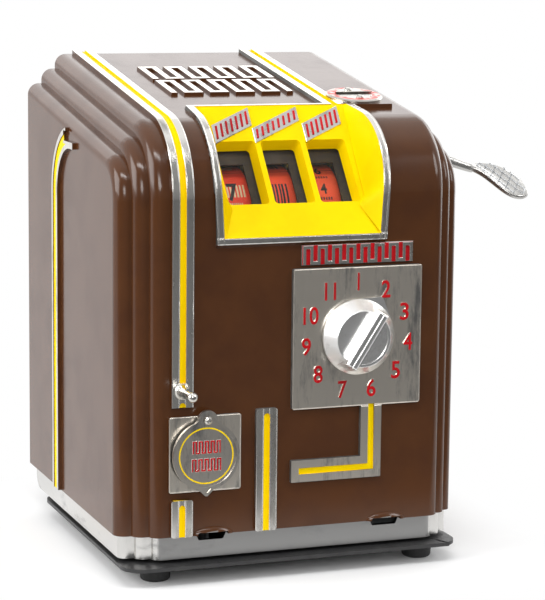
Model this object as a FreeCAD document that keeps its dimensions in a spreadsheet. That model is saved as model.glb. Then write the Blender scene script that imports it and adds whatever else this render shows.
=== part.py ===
# Counter top trade stimulator: a fluted cast case with three reels behind a slanted
# window frame, a number selector, a gum door, a plunger and a lever on the right side.
# Axes: x to the right, y to the back, z up. The origin is on the table top, midway
# between the four feet. Lengths are millimetres and angles are degrees.
import FreeCAD, Part
import math
import os
import re
import Sketcher

Vector = FreeCAD.Vector

# Driving dimensions: name, value, what it is.
SIZES = (
    ("case_width", 230.0, "over the two outer steps of the case"),
    ("case_depth", 220.0, "from the middle of the front to the back"),
    ("case_front", -94.0, "y of the middle of the front"),
    ("seam_height", 30.0, "z of the joint between case and base casting"),
    ("case_height", 282.4, "seam to the top edge at the back"),
    ("top_slope", 9.3, "fall of the top towards the front"),
    ("flute_width", 9.4, "each step at the side of the front"),
    ("flute_depth", 5.3, "each step back of the front"),
    ("flute_drop", 9.8, "each step down of the top"),
    ("nose_radius", 46.0, "round between front and top"),
    ("edge_radius", 7.5, "round on every step's side edge"),
    ("wall", 4.0, "thickness of the castings"),
    ("trim_relief", 2.5, "height of the bright trim over the front"),
    ("trim_width", 13.8, "width of each trim strip"),
    ("groove_width", 4.0, "painted groove in a trim strip"),
    ("groove_depth", 1.2, "depth of the painted grooves"),
    ("left_trim_x", -77.0, "middle of the long strip on the left"),
    ("left_trim_foot", 110.8, "z of its lower end"),
    ("left_groove_foot", 126.1, "z where its groove starts"),
    ("low_trim_top", 53.2, "top of the short strip below the gum door"),
    ("mid_trim_x", -22.6, "middle of the strip right of the gum door"),
    ("mid_trim_top", 107.1, "top of that strip"),
    ("groove_inset", 3.0, "groove end to strip end"),
    ("right_trim_x", 43.1, "middle of the strip on the top"),
    ("coin_pad_right", 82.0, "right edge of the raised pad for the coin plate"),
    ("coin_pad_front", -39.0, "its front edge"),
    ("coin_pad_back", 5.0, "its back edge"),
    ("side_trim_relief", 2.2, "height of the trim on the sides"),
    ("side_trim_y", 50.2, "middle of its upright"),
    ("side_trim_spring", 228.5, "z where its bend starts"),
    ("side_trim_bend", 44.0, "outer radius of the bend"),
    ("side_groove", 7.2, "groove in the side trim"),
    ("side_groove_depth", 0.6, "its depth"),
    ("side_fork_y", 28.0, "y where the side trim forks"),
    ("side_prong_y", 6.3, "front end of the lower prong"),
    ("side_upper_y", 23.0, "front end of the upper prong"),
    ("facet_foot_y", -97.0, "lower edge of the reel window face"),
    ("facet_foot_z", 214.0, "its height"),
    ("facet_lean", 39.4, "lean of the face back from upright"),
    ("facet_length", 95.7, "face, bottom to top"),
    ("facet_width", 102.0, "face, side to side"),
    ("facet_flare", 6.0, "draft of the walls round the face"),
    ("facet_wall", 4.0, "thickness of the face"),
    ("rim_width", 4.6, "bright rim beside the face"),
    ("rim_foot", 3.6, "rim below the face"),
    ("rim_head", 2.0, "rim above the face"),
    ("rim_corner", 1.0, "outer corners of the rim"),
    ("window_width", 26.4, "each reel window, at the front"),
    ("window_height", 46.5, "its height along the face"),
    ("window_foot", 22.6, "lower window edge up the face"),
    ("window_pitch", 30.0, "spacing of windows and reels"),
    ("window_corner", 2.5, "corner round of the windows"),
    ("well_depth", 8.0, "depth of the window wells"),
    ("well_draft", 14.0, "draft of the well walls"),
    ("well_rim", 3.0, "metal round the wells at the back"),
    ("glass_thickness", 2.5, "window glass"),
    ("mask_thickness", 1.0, "dark sheet behind the glass"),
    ("mask_boss_radius", 3.7, "bosses that carry the dark sheet"),
    ("dial_x", 36.2, "middle of the selector"),
    ("dial_z", 149.1, "its height"),
    ("dial_pad_left", -6.4, "left edge of the selector pad"),
    ("dial_pad_right", 79.1, "its right edge"),
    ("dial_pad_bottom", 105.1, "its lower edge"),
    ("dial_pad_top", 192.5, "its upper edge"),
    ("dial_relief", 3.0, "height of the pads on the front"),
    ("pad_corner", 1.5, "corner round of the pads"),
    ("elbow_x", 46.4, "middle of the strip below the selector pad"),
    ("elbow_z", 66.1, "middle of its level part"),
    ("knob_radius", 23.6, "selector knob at its foot"),
    ("knob_height", 17.0, "knob over the pad"),
    ("knob_taper", 30.0, "draft of the knob"),
    ("knob_flange", 2.2, "thickness of the knob's foot and pointer"),
    ("knob_dish", 0.8, "depth of its two sunken faces"),
    ("knob_gap", 0.6, "knob to pad"),
    ("grip_width", 8.0, "ridge across the knob"),
    ("grip_height", 6.0, "ridge over the knob's face"),
    ("grip_draft", 12.0, "draft of the ridge's ends"),
    ("grip_crease", 0.6, "depth of the crease along the ridge"),
    ("pointer_reach", 28.5, "knob centre to pointer tip"),
    ("pointer_angle", 32.727, "pointer clockwise from the top number"),
    ("selector_shaft_radius", 3.2, "shaft of the selector"),
    ("detent_radius", 21.0, "notched wheel on the selector shaft"),
    ("detent_thickness", 3.0, "its thickness"),
    ("selector_steps", 11.0, "numbers on the selector"),
    ("gum_plate_left", -85.6, "left edge of the gum plate"),
    ("gum_plate_right", -39.4, "its right edge"),
    ("gum_plate_bottom", 58.2, "its lower edge"),
    ("gum_plate_top", 105.2, "its upper edge"),
    ("gum_x", -64.0, "middle of the gum cup"),
    ("gum_z", 80.6, "its height"),
    ("gum_cup_radius", 20.3, "inside of the gum cup"),
    ("gum_cup_depth", 24.0, "cup behind the wall"),
    ("gum_cup_wall", 1.6, "its sheet"),
    ("door_x", -63.2, "middle of the gum door"),
    ("door_z", 81.2, "its height"),
    ("door_radius", 21.3, "its radius"),
    ("door_thickness", 1.8, "its disc"),
    ("door_rim", 2.0, "width of its raised rim"),
    ("door_rim_height", 0.8, "height of the rim"),
    ("door_gap", 2.6, "door to plate"),
    ("door_pin_x", -62.4, "pivot of the gum door"),
    ("door_pin_z", 103.1, "its height"),
    ("door_lug_radius", 6.2, "round ear at the pivot"),
    ("door_tab_reach", 25.0, "middle of the door to its tab's tip"),
    ("pin_radius", 1.2, "gum door pin"),
    ("pin_head_radius", 2.8, "its round head"),
    ("plunger_z", 121.0, "height of the plunger"),
    ("plunger_radius", 2.4, "plunger rod"),
    ("plunger_reach", 22.0, "ball in front of the strip"),
    ("plunger_ball", 3.2, "radius of its ball"),
    ("plunger_flare", 5.2, "flared collar at the strip"),
    ("plunger_travel", 6.0, "stroke"),
    ("plunger_tail", 34.0, "rod behind the wall"),
    ("spring_wire", 0.8, "wire of the springs"),
    ("notch_width", 21.0, "finger notches at the seam, at their widest"),
    ("notch_left_x", -56.5, "middle of the left one"),
    ("notch_right_x", 58.8, "middle of the right one"),
    ("notch_rise", 1.8, "notch above the seam"),
    ("notch_sink", 4.0, "notch below the seam"),
    ("notch_lip", 3.4, "lip over a notch"),
    ("band_inset", 3.0, "base casting inside the case's outline"),
    ("band_bottom", 15.3, "z of its lower edge"),
    ("band_back", 119.0, "y of its back"),
    ("band_round", 10.0, "its round at the lower back"),
    ("plate_width", 226.0, "base plate"),
    ("plate_depth", 200.0, "its depth"),
    ("plate_thickness", 2.3, "its thickness"),
    ("plate_corner", 14.0, "its corners"),
    ("foot_height", 10.7, "rubber feet"),
    ("foot_radius", 9.8, "their radius"),
    ("foot_x", 88.0, "feet from the middle, sideways"),
    ("foot_y", 77.0, "feet from the middle, front to back"),
    ("lug_x", 98.0, "screw lugs in the case, sideways"),
    ("lug_y", 52.0, "screw lugs in the case, front to back"),
    ("lug_radius", 6.0, "their radius"),
    ("cap_radius", 32.0, "dished cap under the base plate"),
    ("cap_x", -13.0, "its middle"),
    ("cap_y", -49.0, "its middle"),
    ("cap_depth", 6.0, "its depth"),
    ("sheet", 2.0, "frame plates of the mechanism"),
    ("thin_sheet", 1.2, "chutes and boxes"),
    ("frame_room", 8.4, "last notched wheel to the outside of a frame plate"),
    ("reel_radius", 30.0, "reels, with their strips"),
    ("reel_width", 19.0, "width of a reel"),
    ("reel_depth", 48.0, "window face to reel axis"),
    ("strip_thickness", 0.8, "number strip round a reel"),
    ("rim_thickness", 1.7, "rim of a reel"),
    ("web_thickness", 2.0, "web of a reel"),
    ("hub_radius", 7.0, "hub of a reel"),
    ("star_radius", 20.0, "notched wheel of a reel"),
    ("star_depth", 3.5, "depth of its notches"),
    ("star_steps", 12.0, "its notches"),
    ("shaft_radius", 3.0, "steel shafts"),
    ("running", 0.05, "clearance of a shaft in its bearing"),
    ("clearance", 0.4, "gap between pieces that pass each other"),
    ("bail_y", 8.0, "axis of the stop bail"),
    ("bail_rise", 33.0, "its height over the reel axis"),
    ("finger_thickness", 1.6, "stop fingers"),
    ("finger_depth", 5.0, "height of a finger's bar"),
    ("lever_x", 62.0, "pivot of the lever"),
    ("lever_z", 246.0, "its height"),
    ("lever_y", -8.0, "middle of the lever's arm"),
    ("lever_width", 13.0, "width of the arm"),
    ("lever_thickness", 8.0, "thickness of the arm"),
    ("lever_hub", 7.0, "hub radius of the lever"),
    ("lever_tail", 6.5, "height of the lever's tail"),
    ("slot_top", 257.5, "lever slot in the right side"),
    ("slot_bottom", 219.0, "its lower end"),
    ("slot_x_gap", 2.0, "slot to lever, each side"),
    ("coin_y", -19.5, "middle of the coin plate, front to back"),
    ("chute_room", 0.7, "frame plate to the coin slot's way"),
    ("coin_plate_radius", 18.5, "coin plate"),
    ("coin_plate_height", 2.2, "its thickness"),
    ("coin_slot_length", 25.0, "coin slot"),
    ("coin_slot_width", 2.8, "its width"),
    ("coin_screw_gap", 10.4, "coin slot to the screws"),
    ("chute_play", 0.6, "coin chute wider than the slot, each side"),
    ("cash_top", 75.0, "rim of the cash box"),
    ("cash_right", 90.0, "right side of the cash box"),
    ("cash_front", -60.0, "its front"),
    ("cash_back", 68.0, "its back"),
    ("spout_radius", 9.0, "gum spout"),
    ("spout_x", -61.5, "its middle"),
    ("spout_y", -77.0, "its middle"),
    ("hopper_foot", 135.0, "lower end of the gum hopper"),
    ("hopper_shoulder", 162.0, "where its funnel ends"),
    ("hopper_top", 200.0, "its open top"),
    ("hopper_left", -88.0, "its left side"),
    ("hopper_front", -87.0, "its front"),
    ("hopper_back", -61.5, "its back"),
    ("back_door_width", 168.0, "door in the back"),
    ("back_door_bottom", 52.0, "its lower edge"),
    ("back_door_top", 236.0, "its upper edge"),
    ("back_door_gap", 0.7, "door to its opening"),
    ("back_door_sheet", 2.0, "its thickness"),
    ("hinge_radius", 3.2, "knuckles of its hinges"),
    ("hinge_length", 36.0, "length of a hinge"),
    ("hinge_leaf", 15.0, "leaf, knuckle to edge"),
    ("hinge_spread", 118.0, "between the two hinges"),
    ("lock_radius", 8.0, "lock in the back door"),
    ("lock_inset", 15.0, "lock to the door's edge"),
)

# Worked out cells: name and formula.
WORKED = (
    ("half_width", "case_width / 2"),
    ("case_back", "case_front + case_depth"),
    ("crown", "seam_height + case_height"),
    ("front_b", "case_front + flute_depth"),
    ("front_a", "case_front + 2 * flute_depth"),
    ("half_b", "half_width - flute_width"),
    ("half_c", "half_width - 2 * flute_width"),
    ("trim_face", "case_front - trim_relief"),
    ("pad_face", "case_front - dial_relief"),
    ("inner_front", "case_front + wall"),
    ("facet_tilt", "90 - facet_lean"),
    ("reel_y", "facet_foot_y + (window_foot + window_height / 2) * sin(facet_lean)"
               " + reel_depth * cos(facet_lean)"),
    ("reel_z", "facet_foot_z + (window_foot + window_height / 2) * cos(facet_lean)"
               " - reel_depth * sin(facet_lean)"),
    ("plate_top", "foot_height + plate_thickness"),
    ("coin_top", "crown - (case_back - coin_y) * tan(top_slope)"),
    ("star_offset", "reel_width / 2 + 1.5"),
    ("frame_half", "window_pitch + star_offset + frame_room"),
    ("coin_x", "frame_half + chute_room + coin_slot_length / 2 + chute_play"),
    ("bail_z", "reel_z + bail_rise"),
    ("finger_nose", "reel_z + star_radius + 0.3"),
    ("slot_half", "lever_width / 2 + slot_x_gap"),
    ("chute_left", "frame_half"),
    ("chute_right", "coin_x + coin_slot_length / 2 + chute_play + thin_sheet"),
    ("back_door_z", "(back_door_bottom + back_door_top) / 2"),
    ("hinge_x", "-back_door_width / 2 - back_door_gap / 2"),
    ("hinge_y", "case_back + hinge_radius"),
)

NAMES = frozenset(row[0] for row in SIZES + WORKED)
WORD = re.compile(r"[a-z][a-z_]*")

doc = FreeCAD.newDocument("trade_stimulator")
sheet = doc.addObject("Spreadsheet::Sheet", "Sizes")
for line, (alias, size, note) in enumerate(SIZES, start=1):
    sheet.set("A%d" % line, alias)
    sheet.set("B%d" % line, "%g" % size)
    sheet.setAlias("B%d" % line, alias)
    sheet.set("C%d" % line, note)
for line, (alias, formula) in enumerate(WORKED, start=len(SIZES) + 1):
    sheet.set("A%d" % line, alias)
    sheet.set("B%d" % line, "=" + formula)
    sheet.setAlias("B%d" % line, alias)
doc.recompute()


def bound(expression):
    """Give an expression in the sheet's words the form that other objects use."""
    return WORD.sub(lambda found: "Sizes." + found.group() if found.group() in NAMES
                    else found.group(), expression)


def number(expression):
    """Give an expression's value as the sizes stand."""
    return float(sheet.evalExpression(expression))


def tie(thing, prop, expression):
    """Bind one property of an object to an expression."""
    thing.setExpression(prop, bound(expression))


# Directions in which a piece can stand: the axis it is turned about, and the angle.
UP = ("1; 0; 0", "0")
OUT_FRONT = ("1; 0; 0", "90")
TO_BACK = ("1; 0; 0", "-90")
TO_RIGHT = ("0; 1; 0", "90")
ON_TOP = ("1; 0; 0", "top_slope")
INTO_TOP = ("1; 0; 0", "180 + top_slope")
ON_FACET = ("1; 0; 0", "facet_tilt")


def stand(thing, x, y, z, turn=UP):
    """Put an object at x, y, z with its own z axis along one of the directions."""
    axis, angle = turn
    tie(thing, "Placement", "create(<<placement>>; create(<<vector>>; %s; %s; %s);"
        " create(<<rotation>>; create(<<vector>>; %s); %s))" % (x, y, z, axis, angle))
    return thing


def on_facet(thing, across, along, depth):
    """Put an object on the reel window face, or depth behind it."""
    return stand(thing, across,
                 "facet_foot_y + (%s) * sin(facet_lean) + (%s) * cos(facet_lean)" % (along, depth),
                 "facet_foot_z + (%s) * cos(facet_lean) - (%s) * sin(facet_lean)" % (along, depth),
                 ON_FACET)


def box(name, x, y, z):
    """Make a box from three (low, high) pairs of expressions."""
    made = doc.addObject("Part::Box", name)
    for prop, (low, high) in zip(("Length", "Width", "Height"), (x, y, z)):
        tie(made, prop, "(%s) - (%s)" % (high, low))
    return stand(made, x[0], y[0], z[0])


def rod(name, radius, length, x, y, z, turn=UP):
    """Make a round bar that starts at x, y, z."""
    made = doc.addObject("Part::Cylinder", name)
    tie(made, "Radius", radius)
    tie(made, "Height", length)
    return stand(made, x, y, z, turn)


def ball(name, radius, x, y, z):
    """Make a ball."""
    made = doc.addObject("Part::Sphere", name)
    tie(made, "Radius", radius)
    return stand(made, x, y, z)


def fuse(name, *pieces):
    """Join pieces into one."""
    made = doc.addObject("Part::MultiFuse", name)
    made.Shapes = list(pieces)
    return made


def cut(name, base, *tools):
    """Take pieces away from a base."""
    made = doc.addObject("Part::Cut", name)
    made.Base = base
    made.Tool = tools[0] if len(tools) == 1 else fuse(name + "_tools", *tools)
    return made


def common(name, *pieces):
    """Keep what the pieces share."""
    made = doc.addObject("Part::MultiCommon", name)
    made.Shapes = list(pieces)
    return made


def group(name, *pieces):
    """Keep separate pieces together as one sub-part."""
    made = doc.addObject("Part::Compound", name)
    made.Links = list(pieces)
    return made


def sketch_on(body, role, offset="0"):
    """Start a sketch on one of a body's own planes, moved out along its normal."""
    made = body.newObject("Sketcher::SketchObject", body.Name + "_sketch")
    plane = next(item for item in body.Origin.OriginFeatures if item.Role == role)
    made.AttachmentSupport = [(plane, "")]
    made.MapMode = "FlatFace"
    tie(made, "AttachmentOffset.Base.z", offset)
    return made


def outline(sketch, points):
    """Draw a closed outline through points, each a pair of expressions."""
    spots = [Vector(number(x), number(y), 0) for x, y in points]
    first = sketch.GeometryCount
    count = len(points)
    for index in range(count):
        sketch.addGeometry(Part.LineSegment(spots[index], spots[(index + 1) % count]), False)
    for index, (x, y) in enumerate(points):
        here = first + index
        after = first + (index + 1) % count
        sketch.addConstraint(Sketcher.Constraint("Coincident", here, 2, after, 1))
        for kind, expression in (("DistanceX", x), ("DistanceY", y)):
            placed = sketch.addConstraint(
                Sketcher.Constraint(kind, -1, 1, here, 1, number(expression)))
            tie(sketch, "Constraints[%d]" % placed, expression)


def circle(sketch, x, y, radius):
    """Draw a circle whose centre and radius are expressions."""
    spot = Vector(number(x), number(y), 0)
    drawn = sketch.addGeometry(Part.Circle(spot, Vector(0, 0, 1), number(radius)), False)
    for kind, expression in (("DistanceX", x), ("DistanceY", y)):
        placed = sketch.addConstraint(
            Sketcher.Constraint(kind, -1, 1, drawn, 3, number(expression)))
        tie(sketch, "Constraints[%d]" % placed, expression)
    placed = sketch.addConstraint(Sketcher.Constraint("Radius", drawn, number(radius)))
    tie(sketch, "Constraints[%d]" % placed, radius)


def pad(body, sketch, length, reverse=False, middle=False):
    """Raise a sketch into a solid."""
    made = body.newObject("PartDesign::Pad", body.Name + "_pad")
    made.Profile = sketch
    tie(made, "Length", length)
    made.Reversed = reverse
    if middle:
        made.SideType = "Symmetric"
    return made


def lean_sides(body, angle, narrowing):
    """Give the walls of a body's first pad a draft, with its sketch's face as it was."""
    doc.recompute()
    last = body.Tip
    walls = []
    for index, face in enumerate(last.Shape.Faces, start=1):
        upright = abs(face.normalAt(0, 0).z)
        if upright < 0.5:
            walls.append("Face%d" % index)
        elif abs(face.CenterOfMass.z) < 1e-6:
            level = "Face%d" % index
    made = body.newObject("PartDesign::Draft", body.Name + "_draft")
    made.Base = (last, walls)
    made.NeutralPlane = (last, [level])
    made.Reversed = narrowing
    tie(made, "Angle", angle)
    return made


def pocket(body, sketch, length):
    """Cut a sketch into a solid, both ways from its plane."""
    made = body.newObject("PartDesign::Pocket", body.Name + "_pocket")
    made.Profile = sketch
    tie(made, "Length", length)
    made.SideType = "Symmetric"
    return made


def soften(body, radius, wanted):
    """Round those edges of a body's last feature that the test wants."""
    doc.recompute()
    last = body.Tip
    chosen = ["Edge%d" % index for index, edge in enumerate(last.Shape.Edges, start=1)
              if wanted(edge)]
    made = body.newObject("PartDesign::Fillet", body.Name + "_round")
    made.Base = (last, chosen)
    tie(made, "Radius", radius)
    return made


def along(edge, axis):
    """Tell whether an edge is a straight line along an axis (0, 1 or 2)."""
    if edge.Curve.TypeId != "Part::GeomLine":
        return False
    return abs(abs(edge.Curve.Direction[axis]) - 1) < 1e-6


def at(edge, axis, expression):
    """Tell whether the middle of an edge lies at a place on an axis."""
    return abs(edge.CenterOfMass[axis] - number(expression)) < 1e-4


def corners(points, axes=(0, 1), along_axis=2):
    """Make a test for the edges that run through the points of an outline."""
    def wanted(edge):
        return along(edge, along_axis) and any(
            at(edge, axes[0], x) and at(edge, axes[1], y) for x, y in points)
    return wanted


def rectangle(left, right, bottom, top):
    """Give the four points of a rectangle."""
    return [(left, bottom), (right, bottom), (right, top), (left, top)]


def plate(name, points, thickness, corner=None, holes=(), openings=()):
    """Make a flat piece from an outline, with round holes (x, y, radius) and openings."""
    body = doc.addObject("PartDesign::Body", name)
    sketch = sketch_on(body, "XY_Plane")
    outline(sketch, points)
    for hole in holes:
        circle(sketch, *hole)
    for opening in openings:
        outline(sketch, opening)
    pad(body, sketch, thickness)
    if corner:
        soften(body, corner, corners(points))
    return body


def slice_x(name, points, left, right, rounds=()):
    """Make a piece from a side outline (y, z) that spans left to right.

    Each of rounds is a corner's point with its radius.
    """
    body = doc.addObject("PartDesign::Body", name)
    sketch = sketch_on(body, "YZ_Plane", "(%s + %s) / 2" % (left, right))
    outline(sketch, points)
    pad(body, sketch, "(%s) - (%s)" % (right, left), middle=True)
    for point, radius in rounds:
        soften(body, radius, corners([point], axes=(1, 2), along_axis=0))
    return body


def turned(name, points, rounds=()):
    """Turn an outline of (radius, height) points about the z axis.

    Each of rounds is a corner's point with the radius of its round.
    """
    body = doc.addObject("PartDesign::Body", name)
    sketch = sketch_on(body, "XZ_Plane")
    outline(sketch, points)
    made = body.newObject("PartDesign::Revolution", name + "_turn")
    made.Profile = sketch
    made.ReferenceAxis = (sketch, ["V_Axis"])
    made.Angle = 360
    for point, radius in rounds:
        soften(body, radius, lambda edge, spot=point: edge.Curve.TypeId == "Part::GeomCircle"
               and abs(edge.Curve.Radius - number(spot[0])) < 1e-4
               and abs(edge.Curve.Center.z - number(spot[1])) < 1e-4)
    return body


def step(name, left, right, front, drop, grow, foot="seam_height", back="case_back"):
    """Make one step of the case: upright front, round nose and sloping top.

    The step's front is at front, its top lies drop under the crown, and all its
    faces are moved out by grow.
    """
    crest = "crown - (%s) + (%s) / cos(top_slope)" % (drop, grow)
    face = "%s - (%s)" % (front, grow)
    brow = "%s - (%s - (%s)) * tan(top_slope)" % (crest, "case_back", face)
    rear = "%s - (%s - (%s)) * tan(top_slope)" % (crest, "case_back", back)
    points = [(face, foot), (face, brow), (back, rear), (back, foot)]
    radius = "nose_radius - (%s) + (%s)" % (drop, grow)
    return slice_x(name, points, left, right, [((face, brow), radius)])


def round_sides(body, half, radius):
    """Round the side edges of a step along its front, nose and top."""
    def wanted(edge):
        middle = edge.CenterOfMass
        on_side = abs(abs(middle.x) - number(half)) < 1e-4
        inner = middle.y < number("case_back") - 0.01 and middle.z > number("seam_height") + 0.01
        return on_side and inner and not along(edge, 0)
    soften(body, radius, wanted)
    return body


def case_steps(prefix, grow, side_radius, foot="seam_height", back="case_back"):
    """Make the three nested steps of the case, all moved out by grow."""
    made = []
    for letter, half, front, drop in (("a", "half_width", "front_a", "2 * flute_drop"),
                                      ("b", "half_b", "front_b", "flute_drop"),
                                      ("c", "half_c", "case_front", "0")):
        side = "%s + (%s)" % (half, grow)
        piece = step("%s_%s" % (prefix, letter), "-(%s)" % side, side, front, drop, grow,
                     foot, back)
        made.append(round_sides(piece, side, side_radius))
    return made


def shell_of_front(name, left, right, inner, outer, foot, back="case_back"):
    """Make a skin over the middle step, between two distances from its face."""
    solid = step(name + "_solid", left, right, "case_front", "0", outer, foot, back)
    core = step(name + "_core", "%s - 1" % left, "%s + 1" % right, "case_front", "0", inner,
                "seam_height - 50", "case_back + 50")
    return cut(name, solid, core)


def trim_with_groove(name, middle, foot, groove_foot):
    """Make the long trim strip over front and top, and the cutter of its groove."""
    strip = step(name, "%s - trim_width / 2" % middle, "%s + trim_width / 2" % middle,
                 "case_front", "0", "trim_relief", foot)
    groove = shell_of_front(name + "_groove", "%s - groove_width / 2" % middle,
                            "%s + groove_width / 2" % middle, "trim_relief - groove_depth",
                            "trim_relief + 5", groove_foot, "case_back + 5")
    return strip, groove


def front_pad(name, points, relief="dial_relief", corner="pad_corner"):
    """Make a raised pad on the front from an outline (x, z), bedded in the wall."""
    body = plate(name, points, "%s + wall / 2" % relief, corner)
    return stand(body, "0", "case_front + wall / 2", "0", OUT_FRONT)


def front_groove(name, points, relief):
    """Make the cutter of a straight painted groove in a pad on the front."""
    body = plate(name, points, "groove_depth + 5", "groove_width / 2 - 0.01")
    return stand(body, "0", "case_front - %s + groove_depth" % relief, "0", OUT_FRONT)


def make_side_trim(name, left, right):
    """Make the upright trim on one side with its bend to the front and its fork."""
    front = "side_trim_y - trim_width / 2"
    back = "side_trim_y + trim_width / 2"
    top = "side_trim_spring + side_trim_bend"
    under = "%s - trim_width" % top
    points = [(back, "seam_height"), (back, top), ("side_prong_y", top),
              ("side_prong_y", under), (front, under), (front, "seam_height")]
    strip = slice_x(name + "_strip", points, left, right,
                    [((back, top), "side_trim_bend"),
                     ((front, under), "side_trim_bend - trim_width")])
    fork = box(name + "_fork", ("%s - 1" % left, "%s + 1" % right),
               ("side_prong_y - 1", "side_fork_y"),
               ("%s + (trim_width - side_groove) / 2 + 0.8" % under,
                "%s - (trim_width - side_groove) / 2" % top))
    tip = box(name + "_tip", ("%s - 1" % left, "%s + 1" % right),
              ("side_prong_y - 1", "side_upper_y"),
              ("%s + (trim_width - side_groove) / 2 + 0.8" % under, "%s + 1" % top))
    return cut(name, strip, fork, tip)


def make_side_groove(name, left, right):
    """Make the cutter of the painted groove in a side trim."""
    front = "side_trim_y - side_groove / 2"
    back = "side_trim_y + side_groove / 2"
    top = "side_trim_spring + side_trim_bend - (trim_width - side_groove) / 2"
    under = "%s - side_groove" % top
    points = [(back, "seam_height - 1"), (back, top), ("side_prong_y - 1", top),
              ("side_prong_y - 1", under), (front, under), (front, "seam_height - 1")]
    bend = "side_trim_bend - (trim_width - side_groove) / 2"
    channel = slice_x(name + "_channel", points, left, right,
                      [((back, top), bend), ((front, under), "%s - side_groove" % bend)])
    end = box(name + "_end", ("%s - 1" % left, "%s + 1" % right),
              ("side_prong_y - 2", "side_fork_y"), ("%s - 1" % under, "%s + 1" % top))
    return cut(name, channel, end)


def elbow_outline(half):
    """Give the outline (x, z) of the elbow strip below the selector pad."""
    left = "dial_pad_left + (trim_width / 2 - %s)" % half
    right = "elbow_x + %s" % half
    return [(left, "elbow_z - %s" % half), (right, "elbow_z - %s" % half),
            (right, "dial_pad_bottom + 1"), ("elbow_x - %s" % half, "dial_pad_bottom + 1"),
            ("elbow_x - %s" % half, "elbow_z + %s" % half), (left, "elbow_z + %s" % half)]


def make_facet_pan():
    """Make the slanted wall behind the reel window face, with its thicker middle."""
    half = "facet_width / 2 + wall"
    pan = plate("facet_pan", rectangle("-(%s)" % half, half, "-wall", "facet_length + wall"),
                "facet_wall + 40")
    on_facet(pan, "0", "0", "facet_wall")
    block_half = "window_pitch + window_width / 2 + well_rim"
    block = plate("facet_block", rectangle("-(%s)" % block_half, block_half,
                                           "window_foot - well_rim",
                                           "window_foot + window_height + well_rim"),
                  "well_depth", "2 * window_corner")
    on_facet(block, "0", "0", "well_depth")
    kept = step("facet_limit", "-(half_c)", "half_c", "case_front", "0", "0")
    wall = common("facet_wall_inside", fuse("facet_thick", pan, block), kept)
    bosses = []
    for index, (across, height) in enumerate(mask_screw_places(), start=1):
        boss = rod("mask_boss_%d" % index, "mask_boss_radius",
                   "well_depth + glass_thickness - facet_wall", "0", "0", "0")
        bosses.append(on_facet(boss, across, height, "well_depth + glass_thickness"))
    return fuse("facet_inside", wall, *bosses)


def mask_screw_places():
    """Give the four screw places of the dark sheet on the face (across, along)."""
    across = "window_pitch + window_width / 2 + well_rim + mask_boss_radius - clearance / 2"
    low = "window_foot + 4"
    high = "window_foot + window_height - 4"
    return [("-(%s)" % across, low), (across, low), (across, high), ("-(%s)" % across, high)]


def leaned_block(name, points):
    """Make a block on the reel window face whose sides flare outwards."""
    body = doc.addObject("PartDesign::Body", name)
    drawn = sketch_on(body, "XY_Plane")
    outline(drawn, points)
    pad(body, drawn, "60")
    lean_sides(body, "facet_flare", False)
    return on_facet(body, "0", "0", "0")


def make_rim():
    """Make the bright rim round the reel window face, following the nose."""
    half = "facet_width / 2 + rim_width"
    points = rectangle("-(%s)" % half, half, "-rim_foot", "facet_length + rim_head")
    foot = plate("rim_below", points, "10", "rim_corner")
    on_facet(foot, "0", "0", "10")
    skin = shell_of_front("rim_skin", "-(%s) - 9" % half, "%s + 9" % half, "-wall / 2",
                          "trim_relief", "seam_height")
    return common("facet_rim", fuse("rim_block", foot, leaned_block("rim_tower", points)), skin)


def make_facet_cutters():
    """Make the cutters of the slanted recess and of the three window wells."""
    half = "facet_width / 2"
    cutters = [leaned_block("facet_recess", rectangle("-%s" % half, half, "0", "facet_length"))]
    for index in (-1, 0, 1):
        well = doc.addObject("PartDesign::Body", "well_%d" % (index + 2))
        middle = "%d * window_pitch" % index
        corner_points = rectangle("%s - window_width / 2" % middle,
                                  "%s + window_width / 2" % middle,
                                  "window_foot", "window_foot + window_height")
        drawn = sketch_on(well, "XY_Plane")
        outline(drawn, corner_points)
        pad(well, drawn, "well_depth + 0.5", reverse=True)
        lean_sides(well, "well_draft", True)
        soften(well, "window_corner", lambda edge: edge.Curve.TypeId == "Part::GeomLine"
               and abs(edge.Curve.Direction.z) > 0.3)
        cutters.append(on_facet(well, "0", "0", "0"))
    return cutters


def make_notch(name, middle):
    """Make the cutter of a finger notch: wide at the top, narrower below the seam."""
    points = [("%s - notch_width / 2" % middle, "seam_height + notch_rise"),
              ("%s - notch_width / 2 + 2.5" % middle, "seam_height - notch_sink"),
              ("%s + notch_width / 2 - 2.5" % middle, "seam_height - notch_sink"),
              ("%s + notch_width / 2" % middle, "seam_height + notch_rise")]
    body = plate(name, points, "40", "1.2")
    return stand(body, "0", "case_front + 20", "0", OUT_FRONT)


def make_notch_lip(name, middle):
    """Make the brow that the case has over a finger notch, half of a long egg shape."""
    lip = doc.addObject("Part::Ellipsoid", name)
    tie(lip, "Radius1", "notch_rise + notch_lip")
    tie(lip, "Radius2", "notch_width / 2 + 3")
    tie(lip, "Radius3", "notch_lip")
    lip.Angle1 = 0
    return stand(lip, middle, "case_front + 0.6", "seam_height")


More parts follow.
